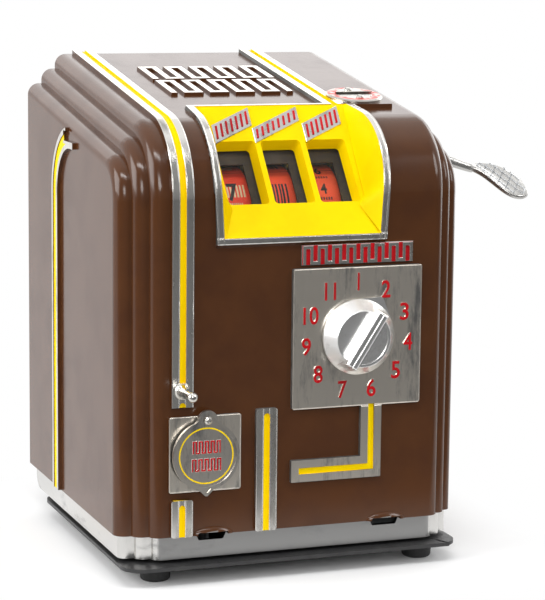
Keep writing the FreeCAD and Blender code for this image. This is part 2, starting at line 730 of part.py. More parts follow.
def make_front_trim():
    """Make the bright strips and pads of front and top, and their groove cutters."""
    long_trim, long_groove = trim_with_groove("left_trim", "left_trim_x", "left_trim_foot",
                                              "left_groove_foot")
    over, over_groove = trim_with_groove("right_trim", "right_trim_x", "coin_top - 60",
                                         "coin_top - 60")
    behind_rim = box("behind_rim", ("right_trim_x - 30", "right_trim_x + 30"),
                     ("coin_pad_front + 2", "case_back + 10"), ("coin_top - 30", "crown + 10"))
    skin = step("coin_pad_skin", "right_trim_x", "coin_pad_right", "case_front", "0",
                "trim_relief")
    block = box("coin_pad_block", ("right_trim_x", "coin_pad_right"),
                ("coin_pad_front", "coin_pad_back"), ("coin_top - 30", "crown"))
    raised = [long_trim, common("top_trim", over, behind_rim), common("coin_pad", skin, block),
              make_rim()]
    grooves = [long_groove, common("top_trim_groove", over_groove, behind_rim)]
    for name, middle, top in (("low_trim", "left_trim_x", "low_trim_top"),
                              ("mid_trim", "mid_trim_x", "mid_trim_top")):
        edges = rectangle("%s - trim_width / 2" % middle, "%s + trim_width / 2" % middle,
                          "seam_height", top)
        raised.append(front_pad(name, edges, "trim_relief"))
        channel = rectangle("%s - groove_width / 2" % middle, "%s + groove_width / 2" % middle,
                            "seam_height - 5", "%s - groove_inset" % top)
        grooves.append(front_groove(name + "_groove", channel, "trim_relief"))
    stub = rectangle("left_trim_x - groove_width / 2", "left_trim_x + groove_width / 2",
                     "left_trim_foot - 5", "left_trim_foot + groove_inset")
    grooves.append(front_groove("left_trim_stub_groove", stub, "trim_relief"))
    raised.append(front_pad("dial_pad", rectangle("dial_pad_left", "dial_pad_right",
                                                  "dial_pad_bottom", "dial_pad_top")))
    raised.append(front_pad("gum_plate", rectangle("gum_plate_left", "gum_plate_right",
                                                   "gum_plate_bottom", "gum_plate_top"),
                            "trim_relief"))
    raised.append(front_pad("elbow", elbow_outline("trim_width / 2"), corner=None))
    channel = plate("elbow_groove", elbow_outline("groove_width / 2"), "groove_depth + 5")
    grooves.append(stand(channel, "0", "pad_face + groove_depth", "0", OUT_FRONT))
    return raised, grooves


def make_side_trims():
    """Make the trim of both sides and its groove cutters."""
    face = "half_width + side_trim_relief"
    floor = "half_width + side_trim_relief - side_groove_depth"
    root = "half_width - 1"
    raised = [make_side_trim("left_side_trim", "-(%s)" % face, "-(%s)" % root),
              make_side_trim("right_side_trim", root, face)]
    grooves = [make_side_groove("left_side_groove", "-(%s + 5)" % face, "-(%s)" % floor),
               make_side_groove("right_side_groove", floor, "%s + 5" % face)]
    return raised, grooves


def make_lugs(name, inset, bottom, rib_bottom, top):
    """Make the four screw lugs of a casting, each with a rib to the side wall."""
    made = []
    for index, (x, y) in enumerate(four("lug_x", "lug_y"), start=1):
        made.append(rod("%s_lug_%d" % (name, index), "lug_radius", "%s - (%s)" % (top, bottom),
                        x, y, bottom))
        wall_x = "half_width - %s - wall / 2" % inset
        span = (x, wall_x) if number(x) > 0 else ("-(%s)" % wall_x, x)
        made.append(box("%s_rib_%d" % (name, index), span, ("%s - 2" % y, "%s + 2" % y),
                        (rib_bottom, top)))
    return made


def make_case_shell():
    """Make the cast case with its raised trim, window face, openings and lugs."""
    raised, grooves = make_front_trim()
    side_raised, side_grooves = make_side_trims()
    lips = [make_notch_lip("left_notch_lip", "notch_left_x"),
            make_notch_lip("right_notch_lip", "notch_right_x")]
    solid = fuse("case_solid", *case_steps("outer", "0", "edge_radius"), *raised, *side_raised,
                 *lips)
    hollow = fuse("case_hollow", *case_steps("inner", "-wall", "edge_radius - wall / 2",
                                             foot="seam_height - 20", back="case_back - wall"))
    skin = cut("case_skin", solid, hollow)
    lugs = make_lugs("case", "0", "seam_height", "seam_height", "(seam_height + 26)")
    dressed = fuse("case_dressed", skin, make_facet_pan(), *lugs)
    return cut("case_shell", dressed, *make_facet_cutters(), *grooves, *side_grooves,
               *make_case_holes())


def make_case_holes():
    """Make the cutters of every hole through the case."""
    holes = [make_notch("case_notch_left", "notch_left_x"),
             make_notch("case_notch_right", "notch_right_x"),
             rod("gum_hole", "gum_cup_radius", "wall + 20", "gum_x", "inner_front + 1", "gum_z",
                 OUT_FRONT),
             rod("plunger_hole", "plunger_radius + 1.5", "30", "left_trim_x", "inner_front + 1",
                 "plunger_z", OUT_FRONT),
             rod("selector_hole", "selector_shaft_radius + 3", "30", "dial_x",
                 "inner_front + 1", "dial_z", OUT_FRONT),
             rod("pin_hole", "pin_radius", "30", "door_pin_x", "inner_front + 1",
                 "door_pin_z", OUT_FRONT)]
    slot = box("lever_slot", ("half_width - wall - 2", "half_width + 2"),
               ("lever_y - slot_half", "lever_y + slot_half"), ("slot_bottom", "slot_top"))
    coin = box("coin_way", ("coin_x - coin_slot_length / 2 - chute_play",
                            "coin_x + coin_slot_length / 2 + chute_play"),
               ("coin_y - coin_slot_width / 2 - 0.5", "coin_y + coin_slot_width / 2 + 0.5"),
               ("coin_top - 20", "coin_top + 20"))
    door = box("back_opening", ("-back_door_width / 2 - back_door_gap",
                                "back_door_width / 2 + back_door_gap"),
               ("case_back - wall - 1", "case_back + 1"),
               ("back_door_bottom - back_door_gap", "back_door_top + back_door_gap"))
    for index, (x, y) in enumerate(four("lug_x", "lug_y"), start=1):
        holes.append(rod("lug_hole_%d" % index, "1.7", "20", x, y, "seam_height - 1"))
    for index, (across, height) in enumerate(mask_screw_places(), start=1):
        drill = rod("mask_hole_%d" % index, "1.2", "6", "0", "0", "0")
        holes.append(on_facet(drill, across, height, "well_depth + glass_thickness + 1"))
    for index, spot in enumerate(coin_screw_places(), start=1):
        drill = rod("coin_screw_hole_%d" % index, "1.3", "14", "0", "0", "0")
        holes.append(on_top(drill, "coin_x", spot, "-8"))
    return holes + [slot, coin, door]


def on_top(thing, x, away, height, turn=ON_TOP):
    """Put an object on the sloping top, away up the slope from the coin plate's middle."""
    return stand(thing, x,
                 "coin_y + (%s) * cos(top_slope) - (%s) * sin(top_slope)" % (away, height),
                 "coin_top + (%s) * sin(top_slope) + (%s) * cos(top_slope)" % (away, height),
                 turn)


def coin_screw_places():
    """Give how far up the slope the coin plate's two screws are."""
    return ("coin_screw_gap", "-coin_screw_gap")


def make_base_casting():
    """Make the open cast band below the case, stepped like it, with four lugs."""
    made = []
    for prefix, grow, foot, top in (("band", "-band_inset", "band_bottom", "seam_height"),
                                    ("band_core", "-band_inset - wall", "band_bottom - 1",
                                     "seam_height + 1")):
        pieces = []
        for letter, half, front in (("a", "half_width", "front_a"), ("b", "half_b", "front_b"),
                                    ("c", "half_c", "case_front")):
            side = "%s + (%s)" % (half, grow)
            face = "%s - (%s)" % (front, grow)
            back = "band_back" if prefix == "band" else "band_back - wall"
            points = [(face, foot), (face, top), (back, top), (back, foot)]
            rounds = [((back, foot), "band_round")] if prefix == "band" else []
            piece = slice_x("%s_%s" % (prefix, letter), points, "-(%s)" % side, side, rounds)
            soften(piece, "edge_radius - band_inset / 2", lambda edge, y=face:
                   along(edge, 2) and at(edge, 1, y))
            pieces.append(piece)
        made.append(fuse(prefix, *pieces))
    band = cut("band_ring", *made)
    lugs = make_lugs("band", "band_inset", "plate_top", "band_bottom", "seam_height")
    holes = [make_notch("band_notch_left", "notch_left_x"),
             make_notch("band_notch_right", "notch_right_x")]
    for index, (x, y) in enumerate(four("lug_x", "lug_y"), start=1):
        holes.append(rod("band_hole_%d" % index, "2.1", "30", x, y, "plate_top - 1"))
    sill = box("band_sill", ("-half_width + band_inset + wall / 2",
                             "half_width - band_inset - wall / 2"),
               ("plate_depth / 2 - 2", "band_back - wall / 2"),
               ("band_bottom", "band_bottom + wall - 1"))
    return cut("base_casting", fuse("band_with_lugs", band, sill, *lugs), *holes)


def four(x, y):
    """Give the four places at plus and minus x and y."""
    return [("%d * %s" % (sx, x), "%d * %s" % (sy, y))
            for sx, sy in ((-1, -1), (1, -1), (1, 1), (-1, 1))]


def make_base_plate():
    """Make the flat base plate with its screw holes."""
    holes = [(x, y, "2.1") for x, y in four("foot_x", "foot_y")]
    holes += [(x, y, "2.1") for x, y in four("lug_x", "lug_y")]
    holes += [(x, y, "1.7") for x, y in frame_screw_places()]
    holes.append(("cap_x", "cap_y", "2.1"))
    points = rectangle("-plate_width / 2", "plate_width / 2", "-plate_depth / 2",
                       "plate_depth / 2")
    made = plate("base_plate", points, "plate_thickness", "plate_corner", holes)
    return stand(made, "0", "0", "foot_height")


def make_feet():
    """Make the four rubber feet and the screws that hold them."""
    feet = []
    screws = []
    for index, (x, y) in enumerate(four("foot_x", "foot_y"), start=1):
        foot = turned("foot_%d" % index, [("2.2", "3.5"), ("5", "3.5"), ("5", "0"),
                                          ("foot_radius - 0.6", "0"),
                                          ("foot_radius", "foot_height"), ("2.2", "foot_height")],
                      [(("foot_radius - 0.6", "0"), "2")])
        feet.append(stand(foot, x, y, "0"))
        screws.append(make_screw("foot_screw_%d" % index, x, y, "3.5", UP,
                                 "plate_top - 3.5 + 3", "2", "4.4", "2.4", nut="plate_top - 3.5"))
    return group("rubber_feet", *feet), group("foot_screws", *screws)


def make_screw(name, x, y, z, turn, length, radius, head_radius, head_height, nut=None,
               round_head=True):
    """Make a screw: its shank runs from the seat along the turn, its head the other way."""
    head = turned(name + "_head", [("0", "-(%s)" % head_height),
                                   ("%s - 1" % head_radius, "-(%s)" % head_height),
                                   (head_radius, "-(%s) * 0.4" % head_height),
                                   (head_radius, "0"), (radius, "0"), (radius, length),
                                   ("0", length)])
    slot = box(name + "_slot", ("-(%s) - 1" % head_radius, "%s + 1" % head_radius),
               ("-0.4", "0.4"), ("-(%s) - 1" % head_height, "-(%s) * 0.55" % head_height))
    made = cut(name, head, slot)
    if nut is not None:
        ring = doc.addObject("Part::Prism", name + "_nut")
        ring.Polygon = 6
        tie(ring, "Circumradius", "%s * 1.9" % radius)
        tie(ring, "Height", "%s * 1.3" % radius)
        stand(ring, "0", "0", nut)
        made = fuse(name + "_with_nut", made, ring)
    return stand(made, x, y, z, turn)


def frame_screw_places():
    """Give the four places of the screws in the frame plates' feet."""
    x = "(frame_half - 9)"
    return [("-%s" % x, "-4"), (x, "-4"), (x, "42"), ("-%s" % x, "42")]


def make_base_screws():
    """Make the long screws from the base plate through the casting into the case."""
    return group("base_screws", *[
        make_screw("base_screw_%d" % index, x, y, "foot_height", UP,
                   "seam_height - foot_height + 12", "1.7", "4", "2.4")
        for index, (x, y) in enumerate(four("lug_x", "lug_y"), start=1)])


def make_underside_cap():
    """Make the dished sheet cap under the base plate, held by one screw."""
    cap = turned("underside_cap", [("2.1", "0"), ("9", "0"), ("12", "-cap_depth"),
                                   ("cap_radius - 3", "-cap_depth"), ("cap_radius", "0"),
                                   ("cap_radius - 1.6", "0"),
                                   ("cap_radius - 4", "-cap_depth + 1.2"),
                                   ("13", "-cap_depth + 1.2"), ("10", "1.2 - 0.01"),
                                   ("2.1", "1.2 - 0.01")])
    return stand(cap, "cap_x", "cap_y", "foot_height - 1.2")


def block_half():
    """Give the half width of the thick part behind the windows."""
    return "(window_pitch + window_width / 2 + well_rim)"


def make_glass():
    """Make the sheet of glass that lies behind the three windows."""
    points = rectangle("-%s + clearance" % block_half(), "%s - clearance" % block_half(),
                       "window_foot - well_rim", "window_foot + window_height + well_rim")
    glass = plate("window_glass", points, "glass_thickness")
    return on_facet(glass, "0", "0", "well_depth + glass_thickness")


def make_mask():
    """Make the dark sheet behind the glass, open in front of each reel."""
    half = "%s + 2 * mask_boss_radius" % block_half()
    openings = [rectangle("%d * window_pitch - reel_width / 2" % index,
                          "%d * window_pitch + reel_width / 2" % index,
                          "window_foot + well_rim", "window_foot + window_height - well_rim")
                for index in (-1, 0, 1)]
    holes = [(across, height, "1.4") for across, height in mask_screw_places()]
    mask = plate("reel_mask", rectangle("-(%s)" % half, half, "window_foot - well_rim",
                                        "window_foot + window_height + well_rim"),
                 "mask_thickness", "2", holes, openings)
    return on_facet(mask, "0", "0", "well_depth + glass_thickness + mask_thickness")


def make_mask_screws():
    """Make the four screws of the dark sheet."""
    made = []
    for index, (across, height) in enumerate(mask_screw_places(), start=1):
        screw = make_screw("mask_screw_%d" % index, "0", "0", "0", UP, "mask_thickness + 4",
                           "1.2", "2.6", "1.6")
        made.append(on_facet(screw, across, height,
                             "well_depth + glass_thickness + mask_thickness"))
    return group("mask_screws", *made)


def make_coin_plate():
    """Make the round coin plate with its slot between two raised lips."""
    disc = turned("coin_disc", [("0", "0"), ("coin_plate_radius", "0"),
                                ("coin_plate_radius", "coin_plate_height - 0.8"),
                                ("coin_plate_radius - 1.2", "coin_plate_height"),
                                ("0", "coin_plate_height")])
    reach = "(coin_slot_length / 2 + 2.2)"
    lip = plate("coin_lip", [("-%s" % reach, "0"), ("-%s + 3" % reach, "2.2"),
                             ("%s - 3" % reach, "2.2"), (reach, "0"),
                             ("%s - 3" % reach, "-1.8"), ("-%s + 3" % reach, "-1.8")],
                "coin_plate_height + 1.2", "1.2")
    back_lip = common("coin_back_lip", lip, box("coin_lip_limit", ("-20", "20"), ("-5", "5"),
                                                ("0", "coin_plate_height + 2")))
    slot = box("coin_slot", ("-coin_slot_length / 2", "coin_slot_length / 2"),
               ("-coin_slot_width / 2", "coin_slot_width / 2"), ("-5", "20"))
    front = box("coin_lip_front", ("-20", "20"), ("-5", "coin_slot_width / 2 - 0.01"),
                ("coin_plate_height", "coin_plate_height + 5"))
    holes = [rod("coin_plate_hole_%d" % index, "1.7", "20", "0", spot, "-5")
             for index, spot in enumerate(coin_screw_places(), start=1)]
    made = cut("coin_entry_plate", fuse("coin_plate_solid", disc, back_lip), slot, front, *holes)
    return on_top(made, "coin_x", "0", "trim_relief")


def make_coin_screws():
    """Make the two round headed screws of the coin plate."""
    made = []
    for index, spot in enumerate(coin_screw_places(), start=1):
        screw = make_screw("coin_screw_%d" % index, "0", "0", "0", UP, "8", "1.3", "2.6", "1.6")
        made.append(on_top(screw, "coin_x", spot, "trim_relief + coin_plate_height", INTO_TOP))
    return group("coin_entry_screws", *made)


def make_selector_bushing():
    """Make the threaded bush of the selector with its nut inside the case."""
    outer = "selector_shaft_radius + 2.9"
    bore = "selector_shaft_radius + running"
    length = "dial_relief + wall + 5"
    bush = turned("selector_bush", [(bore, "0"), (outer, "0"), (outer, length), (bore, length)])
    nut = doc.addObject("Part::Prism", "selector_nut")
    nut.Polygon = 6
    tie(nut, "Circumradius", "selector_shaft_radius + 6.4")
    tie(nut, "Height", "3.6")
    stand(nut, "0", "0", "dial_relief + wall")
    ring = cut("selector_nut_ring", nut, rod("selector_nut_bore", bore, "40", "0", "0", "0"))
    made = fuse("selector_bushing", bush, ring)
    return stand(made, "dial_x", "pad_face", "dial_z", TO_BACK)


def make_knob():
    """Make the selector knob: tapered body, sunken faces, grip ridge and pointer."""
    face = "knob_height - grip_height"
    face_radius = "(knob_radius - 1 - (%s - knob_flange) * tan(knob_taper))" % face
    body = turned("knob_body", [("0", "0"), ("knob_radius", "0"),
                                ("knob_radius", "knob_flange"), (face_radius, face),
                                ("0", face)],
                  [((face_radius, face), "knob_dish")])
    dish = rod("knob_dish_cutter", "%s - 2 * knob_dish" % face_radius, "grip_height", "0", "0",
               "%s - knob_dish" % face)
    ridge = doc.addObject("PartDesign::Body", "knob_ridge")
    side = sketch_on(ridge, "YZ_Plane")
    foot = "(knob_radius - 1.2)"
    top = "(%s - (knob_height - knob_flange) * tan(grip_draft))" % foot
    outline(side, [("-%s" % foot, "knob_flange / 2"), (foot, "knob_flange / 2"),
                   (top, "knob_height"), ("-%s" % top, "knob_height")])
    pad(ridge, side, "grip_width", middle=True)
    soften(ridge, "grip_width / 5", lambda edge: at(edge, 2, "knob_height"))
    crease = box("knob_crease", ("-grip_crease", "grip_crease"),
                 ("-knob_radius - 1", "knob_radius + 1"),
                 ("knob_height - grip_crease", "knob_height + 1"))
    pointer = plate("knob_pointer", [("-knob_radius * 0.576", "knob_radius * 0.817"),
                                     ("knob_radius * 0.576", "knob_radius * 0.817"),
                                     ("0.5", "pointer_reach"), ("-0.5", "pointer_reach")],
                    "knob_flange")
    solid = fuse("knob_solid", cut("knob_dished", body, dish), ridge, pointer)
    bore = rod("knob_bore", "selector_shaft_radius", "8", "0", "0", "-1")
    made = cut("selector_knob", solid, bore, crease)
    return stand_spun(made, "dial_x", "pad_face - knob_gap", "dial_z", OUT_FRONT,
                      "-pointer_angle")


def stand_spun(thing, x, y, z, turn, spin):
    """Put an object as stand does, first turned about its own z axis."""
    axis, angle = turn
    tie(thing, "Placement", "create(<<placement>>; create(<<vector>>; %s; %s; %s);"
        " create(<<rotation>>; create(<<vector>>; %s); %s)"
        " * create(<<rotation>>; create(<<vector>>; 0; 0; 1); %s))"
        % (x, y, z, axis, angle, spin))
    return thing


def make_selector_shaft():
    """Make the selector's shaft with the collar that keeps it in its bush."""
    start = "pad_face - knob_gap - 7"
    return rod("selector_shaft", "selector_shaft_radius", "inner_front + 14 - (%s)" % start,
               "dial_x", start, "dial_z", TO_BACK)


def make_detent_wheel():
    """Make the notched wheel that gives the selector its steps."""
    body = doc.addObject("PartDesign::Body", "detent_disc")
    drawn = sketch_on(body, "XY_Plane")
    circle(drawn, "0", "0", "detent_radius")
    circle(drawn, "0", "0", "selector_shaft_radius")
    pad(body, drawn, "detent_thickness")
    notches = sketch_on(body, "XY_Plane")
    circle(notches, "0", "detent_radius + 1", "2.6")
    cut_notch = pocket(body, notches, "4 * detent_thickness")
    repeat_round(body, cut_notch, "selector_steps")
    hub = turned("detent_hub", [("selector_shaft_radius", "detent_thickness"),
                                ("selector_shaft_radius + 4", "detent_thickness"),
                                ("selector_shaft_radius + 4", "detent_thickness + 4"),
                                ("selector_shaft_radius", "detent_thickness + 4")])
    made = fuse("detent_wheel", body, hub)
    return stand(made, "dial_x", "inner_front + 6", "dial_z", TO_BACK)


def repeat_round(body, feature, count):
    """Repeat a body's feature round its z axis."""
    made = body.newObject("PartDesign::PolarPattern", body.Name + "_pattern")
    made.Originals = [feature]
    axis = next(item for item in body.Origin.OriginFeatures if item.Role == "Z_Axis")
    made.Axis = (axis, [""])
    made.Angle = 360
    tie(made, "Occurrences", count)
    body.Tip = made
    return made


def gum_door_form(name, shrink, thickness, base):
    """Make the gum door's outline as a solid: disc, shoulders, ear and tab."""
    disc = rod(name + "_disc", "door_radius - %s" % shrink, thickness, "0", "0", base)
    rise = "(door_pin_z - door_z)"
    away = "(door_pin_x - door_x)"
    ear = rod(name + "_ear", "door_lug_radius - %s" % shrink, thickness, away, rise, base)
    broad = "(door_radius * 0.62 - %s)" % shrink
    narrow = "(door_lug_radius - %s)" % shrink
    neck = plate(name + "_neck", [("%s - %s" % (away, broad), "door_radius * 0.72"),
                                  ("%s + %s" % (away, broad), "door_radius * 0.72"),
                                  ("%s + %s * 0.97" % (away, narrow), rise),
                                  ("%s - %s * 0.97" % (away, narrow), rise)], thickness)
    stand(neck, "0", "0", base)
    tab = plate(name + "_tab", [("-(5.4 - %s)" % shrink, "-door_radius * 0.95"),
                                ("-0.7", "-door_tab_reach + %s" % shrink),
                                ("0.7", "-door_tab_reach + %s" % shrink),
                                ("5.4 - %s" % shrink, "-door_radius * 0.95")], thickness)
    stand(tab, "0", "0", base)
    return fuse(name, disc, ear, neck, tab)


def make_gum_door():
    """Make the swinging gum door with its raised rim."""
    solid = gum_door_form("gum_door_solid", "0", "door_thickness + door_rim_height", "0")
    tray = gum_door_form("gum_door_tray", "door_rim", "5", "door_thickness")
    bore = rod("gum_door_bore", "pin_radius + running", "20", "door_pin_x - door_x",
               "door_pin_z - door_z", "-1")
    made = cut("gum_door", solid, tray, bore)
    return stand(made, "door_x", "trim_face - door_gap", "door_z", OUT_FRONT)


def make_gum_door_pin():
    """Make the round headed pin of the gum door, riveted in the wall, with its spacer."""
    tail = "-(trim_relief + wall)"
    head = turned("gum_pin_head", [("0", "0"), ("pin_head_radius", "0"),
                                   ("pin_head_radius * 0.87", "pin_head_radius * 0.5"),
                                   ("pin_head_radius * 0.5", "pin_head_radius * 0.87"),
                                   ("0", "pin_head_radius")])
    stand(head, "0", "0", "door_gap + door_thickness + 0.2")
    shank = rod("gum_pin_shank", "pin_radius", "door_gap + door_thickness + 1 - %s" % tail,
                "0", "0", tail)
    spacer = rod("gum_pin_spacer", "pin_radius + 1.5", "door_gap - 0.1", "0", "0", "0")
    made = fuse("gum_door_pin", head, shank, spacer)
    return stand(made, "door_pin_x", "trim_face", "door_pin_z", OUT_FRONT)


def make_gum_cup():
    """Make the sheet cup behind the gum door, open at the top for the spout."""
    inside = "gum_cup_radius"
    outside = "gum_cup_radius + gum_cup_wall"
    cup = turned("gum_cup_turn", [(inside, "0"), ("%s + 1" % outside, "0"),
                                  ("%s + 1" % outside, "gum_cup_wall"),
                                  (outside, "gum_cup_wall"), (outside, "gum_cup_depth"),
                                  ("0", "gum_cup_depth"),
                                  ("0", "gum_cup_depth - gum_cup_wall"),
                                  (inside, "gum_cup_depth - gum_cup_wall")])
    stand(cup, "gum_x", "inner_front", "gum_z", TO_BACK)
    way = rod("gum_cup_way", "spout_radius + clearance", "60", "spout_x", "spout_y", "gum_z")
    return cut("gum_cup", cup, way)


def make_gum_hopper():
    """Make the sheet hopper of the gum with its funnel and round spout."""
    right = "-frame_half"
    left = "hopper_left"
    made = []
    for name, grow, drop in (("hopper_outer", "0", "0"), ("hopper_inner", "-thin_sheet", "1")):
        body = box(name + "_box", ("%s - (%s)" % (left, grow), "%s + (%s)" % (right, grow)),
                   ("hopper_front - (%s)" % grow, "hopper_back + (%s)" % grow),
                   ("hopper_shoulder", "hopper_top + %s" % drop))
        funnel = doc.addObject("Part::Wedge", name + "_funnel")
        lip = "(spout_radius + (%s))" % grow
        for prop, expression in (
                ("Xmin", "%s - (%s)" % (left, grow)), ("Xmax", "%s + (%s)" % (right, grow)),
                ("X2min", "spout_x - %s" % lip), ("X2max", "spout_x + %s" % lip),
                ("Ymin", "0"), ("Ymax", "hopper_shoulder - hopper_foot"),
                ("Zmin", "hopper_front - (%s)" % grow), ("Zmax", "hopper_back + (%s)" % grow),
                ("Z2min", "spout_y - %s" % lip), ("Z2max", "spout_y + %s" % lip)):
            tie(funnel, prop, expression)
        stand(funnel, "0", "0", "hopper_shoulder", ("1; 0; 0", "-90"))
        spout = rod(name + "_spout", "spout_radius + (%s)" % grow,
                    "hopper_foot - gum_z - gum_cup_radius + 3 + %s + 0.02" % drop, "spout_x",
                    "spout_y", "gum_z + gum_cup_radius - 3 - %s" % drop)
        made.append(fuse(name, body, funnel, spout))
    return cut("gum_hopper", *made)


def make_plunger_guide():
    """Make the flared guide of the plunger with its nut inside the case."""
    bore = "plunger_radius + running"
    slim = "plunger_radius + 0.8"
    inner = "-trim_relief - wall - 6"
    guide = turned("plunger_bush", [(bore, inner), ("plunger_radius + 1.4", inner),
                                    ("plunger_radius + 1.4", "0"), ("plunger_flare", "0"),
                                    ("plunger_flare - 0.2", "0.5"),
                                    ("%s + 1.1" % slim, "1.5"), ("%s + 0.6" % slim, "2.8"),
                                    ("%s + 0.3" % slim, "4.4"), ("%s + 0.1" % slim, "6.4"),
                                    (slim, "8.5"), (bore, "8.5")])
    nut = doc.addObject("Part::Prism", "plunger_nut")
    nut.Polygon = 6
    tie(nut, "Circumradius", "plunger_flare")
    tie(nut, "Height", "3")
    stand(nut, "0", "0", "-trim_relief - wall - 3")
    ring = cut("plunger_nut_ring", nut, rod("plunger_nut_bore", bore, "40", "0", "0", "-20"))
    made = fuse("plunger_guide", guide, ring)
    return stand(made, "left_trim_x", "trim_face", "plunger_z", OUT_FRONT)


def make_plunger():
    """Make the plunger: a rod with a ball in front and a stop collar behind."""
    start = "trim_face - plunger_reach"
    knob = ball("plunger_knob", "plunger_ball", "left_trim_x", "%s + plunger_ball" % start,
                "plunger_z")
    stem = rod("plunger_stem", "plunger_radius",
               "plunger_reach - plunger_ball + trim_relief + wall + plunger_tail",
               "left_trim_x", "%s + plunger_ball" % start, "plunger_z", TO_BACK)
    collar = rod("plunger_collar", "plunger_radius + 2", "2.4", "left_trim_x",
                 "inner_front + 6.6", "plunger_z", TO_BACK)
    return fuse("plunger", knob, stem, collar)


def make_plunger_bracket():
    """Make the bent bracket behind the wall that guides the plunger's tail."""
    back = "inner_front + plunger_tail - 8"
    low = "plunger_z - 8"
    high = "plunger_z + 8"
    points = [("inner_front", low), (back, low), (back, high), ("inner_front", high),
              ("inner_front", "%s - thin_sheet" % high),
              ("%s - thin_sheet" % back, "%s - thin_sheet" % high),
              ("%s - thin_sheet" % back, "%s + thin_sheet" % low),
              ("inner_front", "%s + thin_sheet" % low)]
    arms = slice_x("plunger_bracket_arms", points, "left_trim_x - 4", "left_trim_x + 4")
    hole = rod("plunger_bracket_hole", "plunger_radius + running", "20", "left_trim_x",
               "%s - 10" % back, "plunger_z", TO_BACK)
    return cut("plunger_bracket", arms, hole)


def make_plunger_spring():
    """Make the plunger's return spring as wound wire, shown pushed together."""
    back = "inner_front + plunger_tail - 8 - thin_sheet"
    front = "inner_front + 6.6 + 2.4 + plunger_travel + 0.3"
    return coil("plunger_spring", "plunger_radius + 0.4 + spring_wire / 2", front, back,
                "left_trim_x", "plunger_z")


def coil(name, radius, front, back, x, z):
    """Make a coil of wire along y between two places."""
    wire = number("spring_wire") / 2
    length = number("(%s) - (%s)" % (back, front)) - 2 * wire
    turns = 5
    path = Part.makeHelix(length / turns, length, number(radius))
    ring = Part.Wire(Part.makeCircle(wire, Vector(number(radius), 0, 0), Vector(0, 1, 0)))
    solid = Part.Wire(path.Edges).makePipeShell([ring], True, False)
    made = doc.addObject("Part::Feature", name)
    made.Shape = solid
    return stand(made, x, "(%s) + spring_wire / 2" % front, z, TO_BACK)


def make_frame_plate(side):
    """Make one frame plate of the mechanism: cut out sheet with a bent foot."""
    name = "frame_plate_" + side
    sign = -1 if side == "left" else 1
    inner = "%d * (frame_half - sheet)" % sign
    outer = "%d * frame_half" % sign
    left, right = (outer, inner) if sign < 0 else (inner, outer)
    points = [("-60", "plate_top"), ("54", "plate_top"), ("54", "190"), ("34", "268"),
              ("-28", "268"), ("-60", "230")]
    body = doc.addObject("PartDesign::Body", name + "_sheet")
    drawn = sketch_on(body, "YZ_Plane", "(%s + %s) / 2" % (left, right))
    outline(drawn, points)
    outline(drawn, [("-46", "plate_top + 22"), ("40", "plate_top + 22"), ("40", "100"),
                    ("-46", "100")])
    outline(drawn, [("-46", "114"), ("40", "114"), ("40", "176"), ("-46", "176")])
    circle(drawn, "reel_y", "reel_z", "shaft_radius")
    circle(drawn, "bail_y", "bail_z", "shaft_radius + running")
    for y, z in spacer_places():
        circle(drawn, y, z, "2")
    pad(body, drawn, "sheet", middle=True)
    soften(body, "8", corners(points[2:], axes=(1, 2), along_axis=0))
    foot_out = "%d * (frame_half - 16)" % sign
    low, high = (outer, foot_out) if sign < 0 else (foot_out, outer)
    foot = box(name + "_foot", (low, high), ("-24", "54"), ("plate_top", "plate_top + sheet"))
    drills = [rod("%s_drill_%d" % (name, index), "1.7", "10", "%d * (frame_half - 9)" % sign, y,
                  "plate_top - 1") for index, y in enumerate(("-4", "42"), start=1)]
    return cut(name, fuse(name + "_solid", body, foot), *drills)


def spacer_places():
    """Give where (y, z) the spacer bars join the frame plates."""
    return [("-52", "106"), ("46", "106"), ("26", "258"), ("-50", "184")]


def make_spacers():
    """Make the four bars that hold the frame plates apart, with their end screws."""
    made = []
    for index, (y, z) in enumerate(spacer_places(), start=1):
        bar = rod("spacer_%d" % index, "4", "2 * (frame_half - sheet)", "-(frame_half - sheet)",
                  y, z, TO_RIGHT)
        ends = rod("spacer_end_%d" % index, "2", "2 * frame_half + 3", "-frame_half - 1.5", y, z,
                   TO_RIGHT)
        heads = [rod("spacer_head_%d_%d" % (index, number_of), "3.6", "1.5", x, y, z, TO_RIGHT)
                 for number_of, x in enumerate(("-frame_half - 1.5", "frame_half"), start=1)]
        made.append(fuse("spacer_bar_%d" % index, bar, ends, *heads))
    return group("spacer_bars", *made)


def make_frame_screws():
    """Make the screws through the base plate into the frame plates' feet."""
    return group("frame_screws", *[
        make_screw("frame_screw_%d" % index, x, y, "foot_height", UP,
                   "plate_thickness + sheet + 4", "1.7", "3.6", "2", nut="plate_thickness + sheet")
        for index, (x, y) in enumerate(frame_screw_places(), start=1)])


def make_reel_shaft():
    """Make the fixed shaft of the reels with a ring at each end."""
    bar = rod("reel_rod", "shaft_radius", "2 * frame_half + 6", "-frame_half - 3", "reel_y",
              "reel_z", TO_RIGHT)
    rings = [rod("reel_rod_ring_%d" % index, "shaft_radius + 2", "1.2", x, "reel_y", "reel_z",
                 TO_RIGHT) for index, x in enumerate(("-frame_half - 1.2", "frame_half"), start=1)]
    return fuse("reel_shaft", bar, *rings)


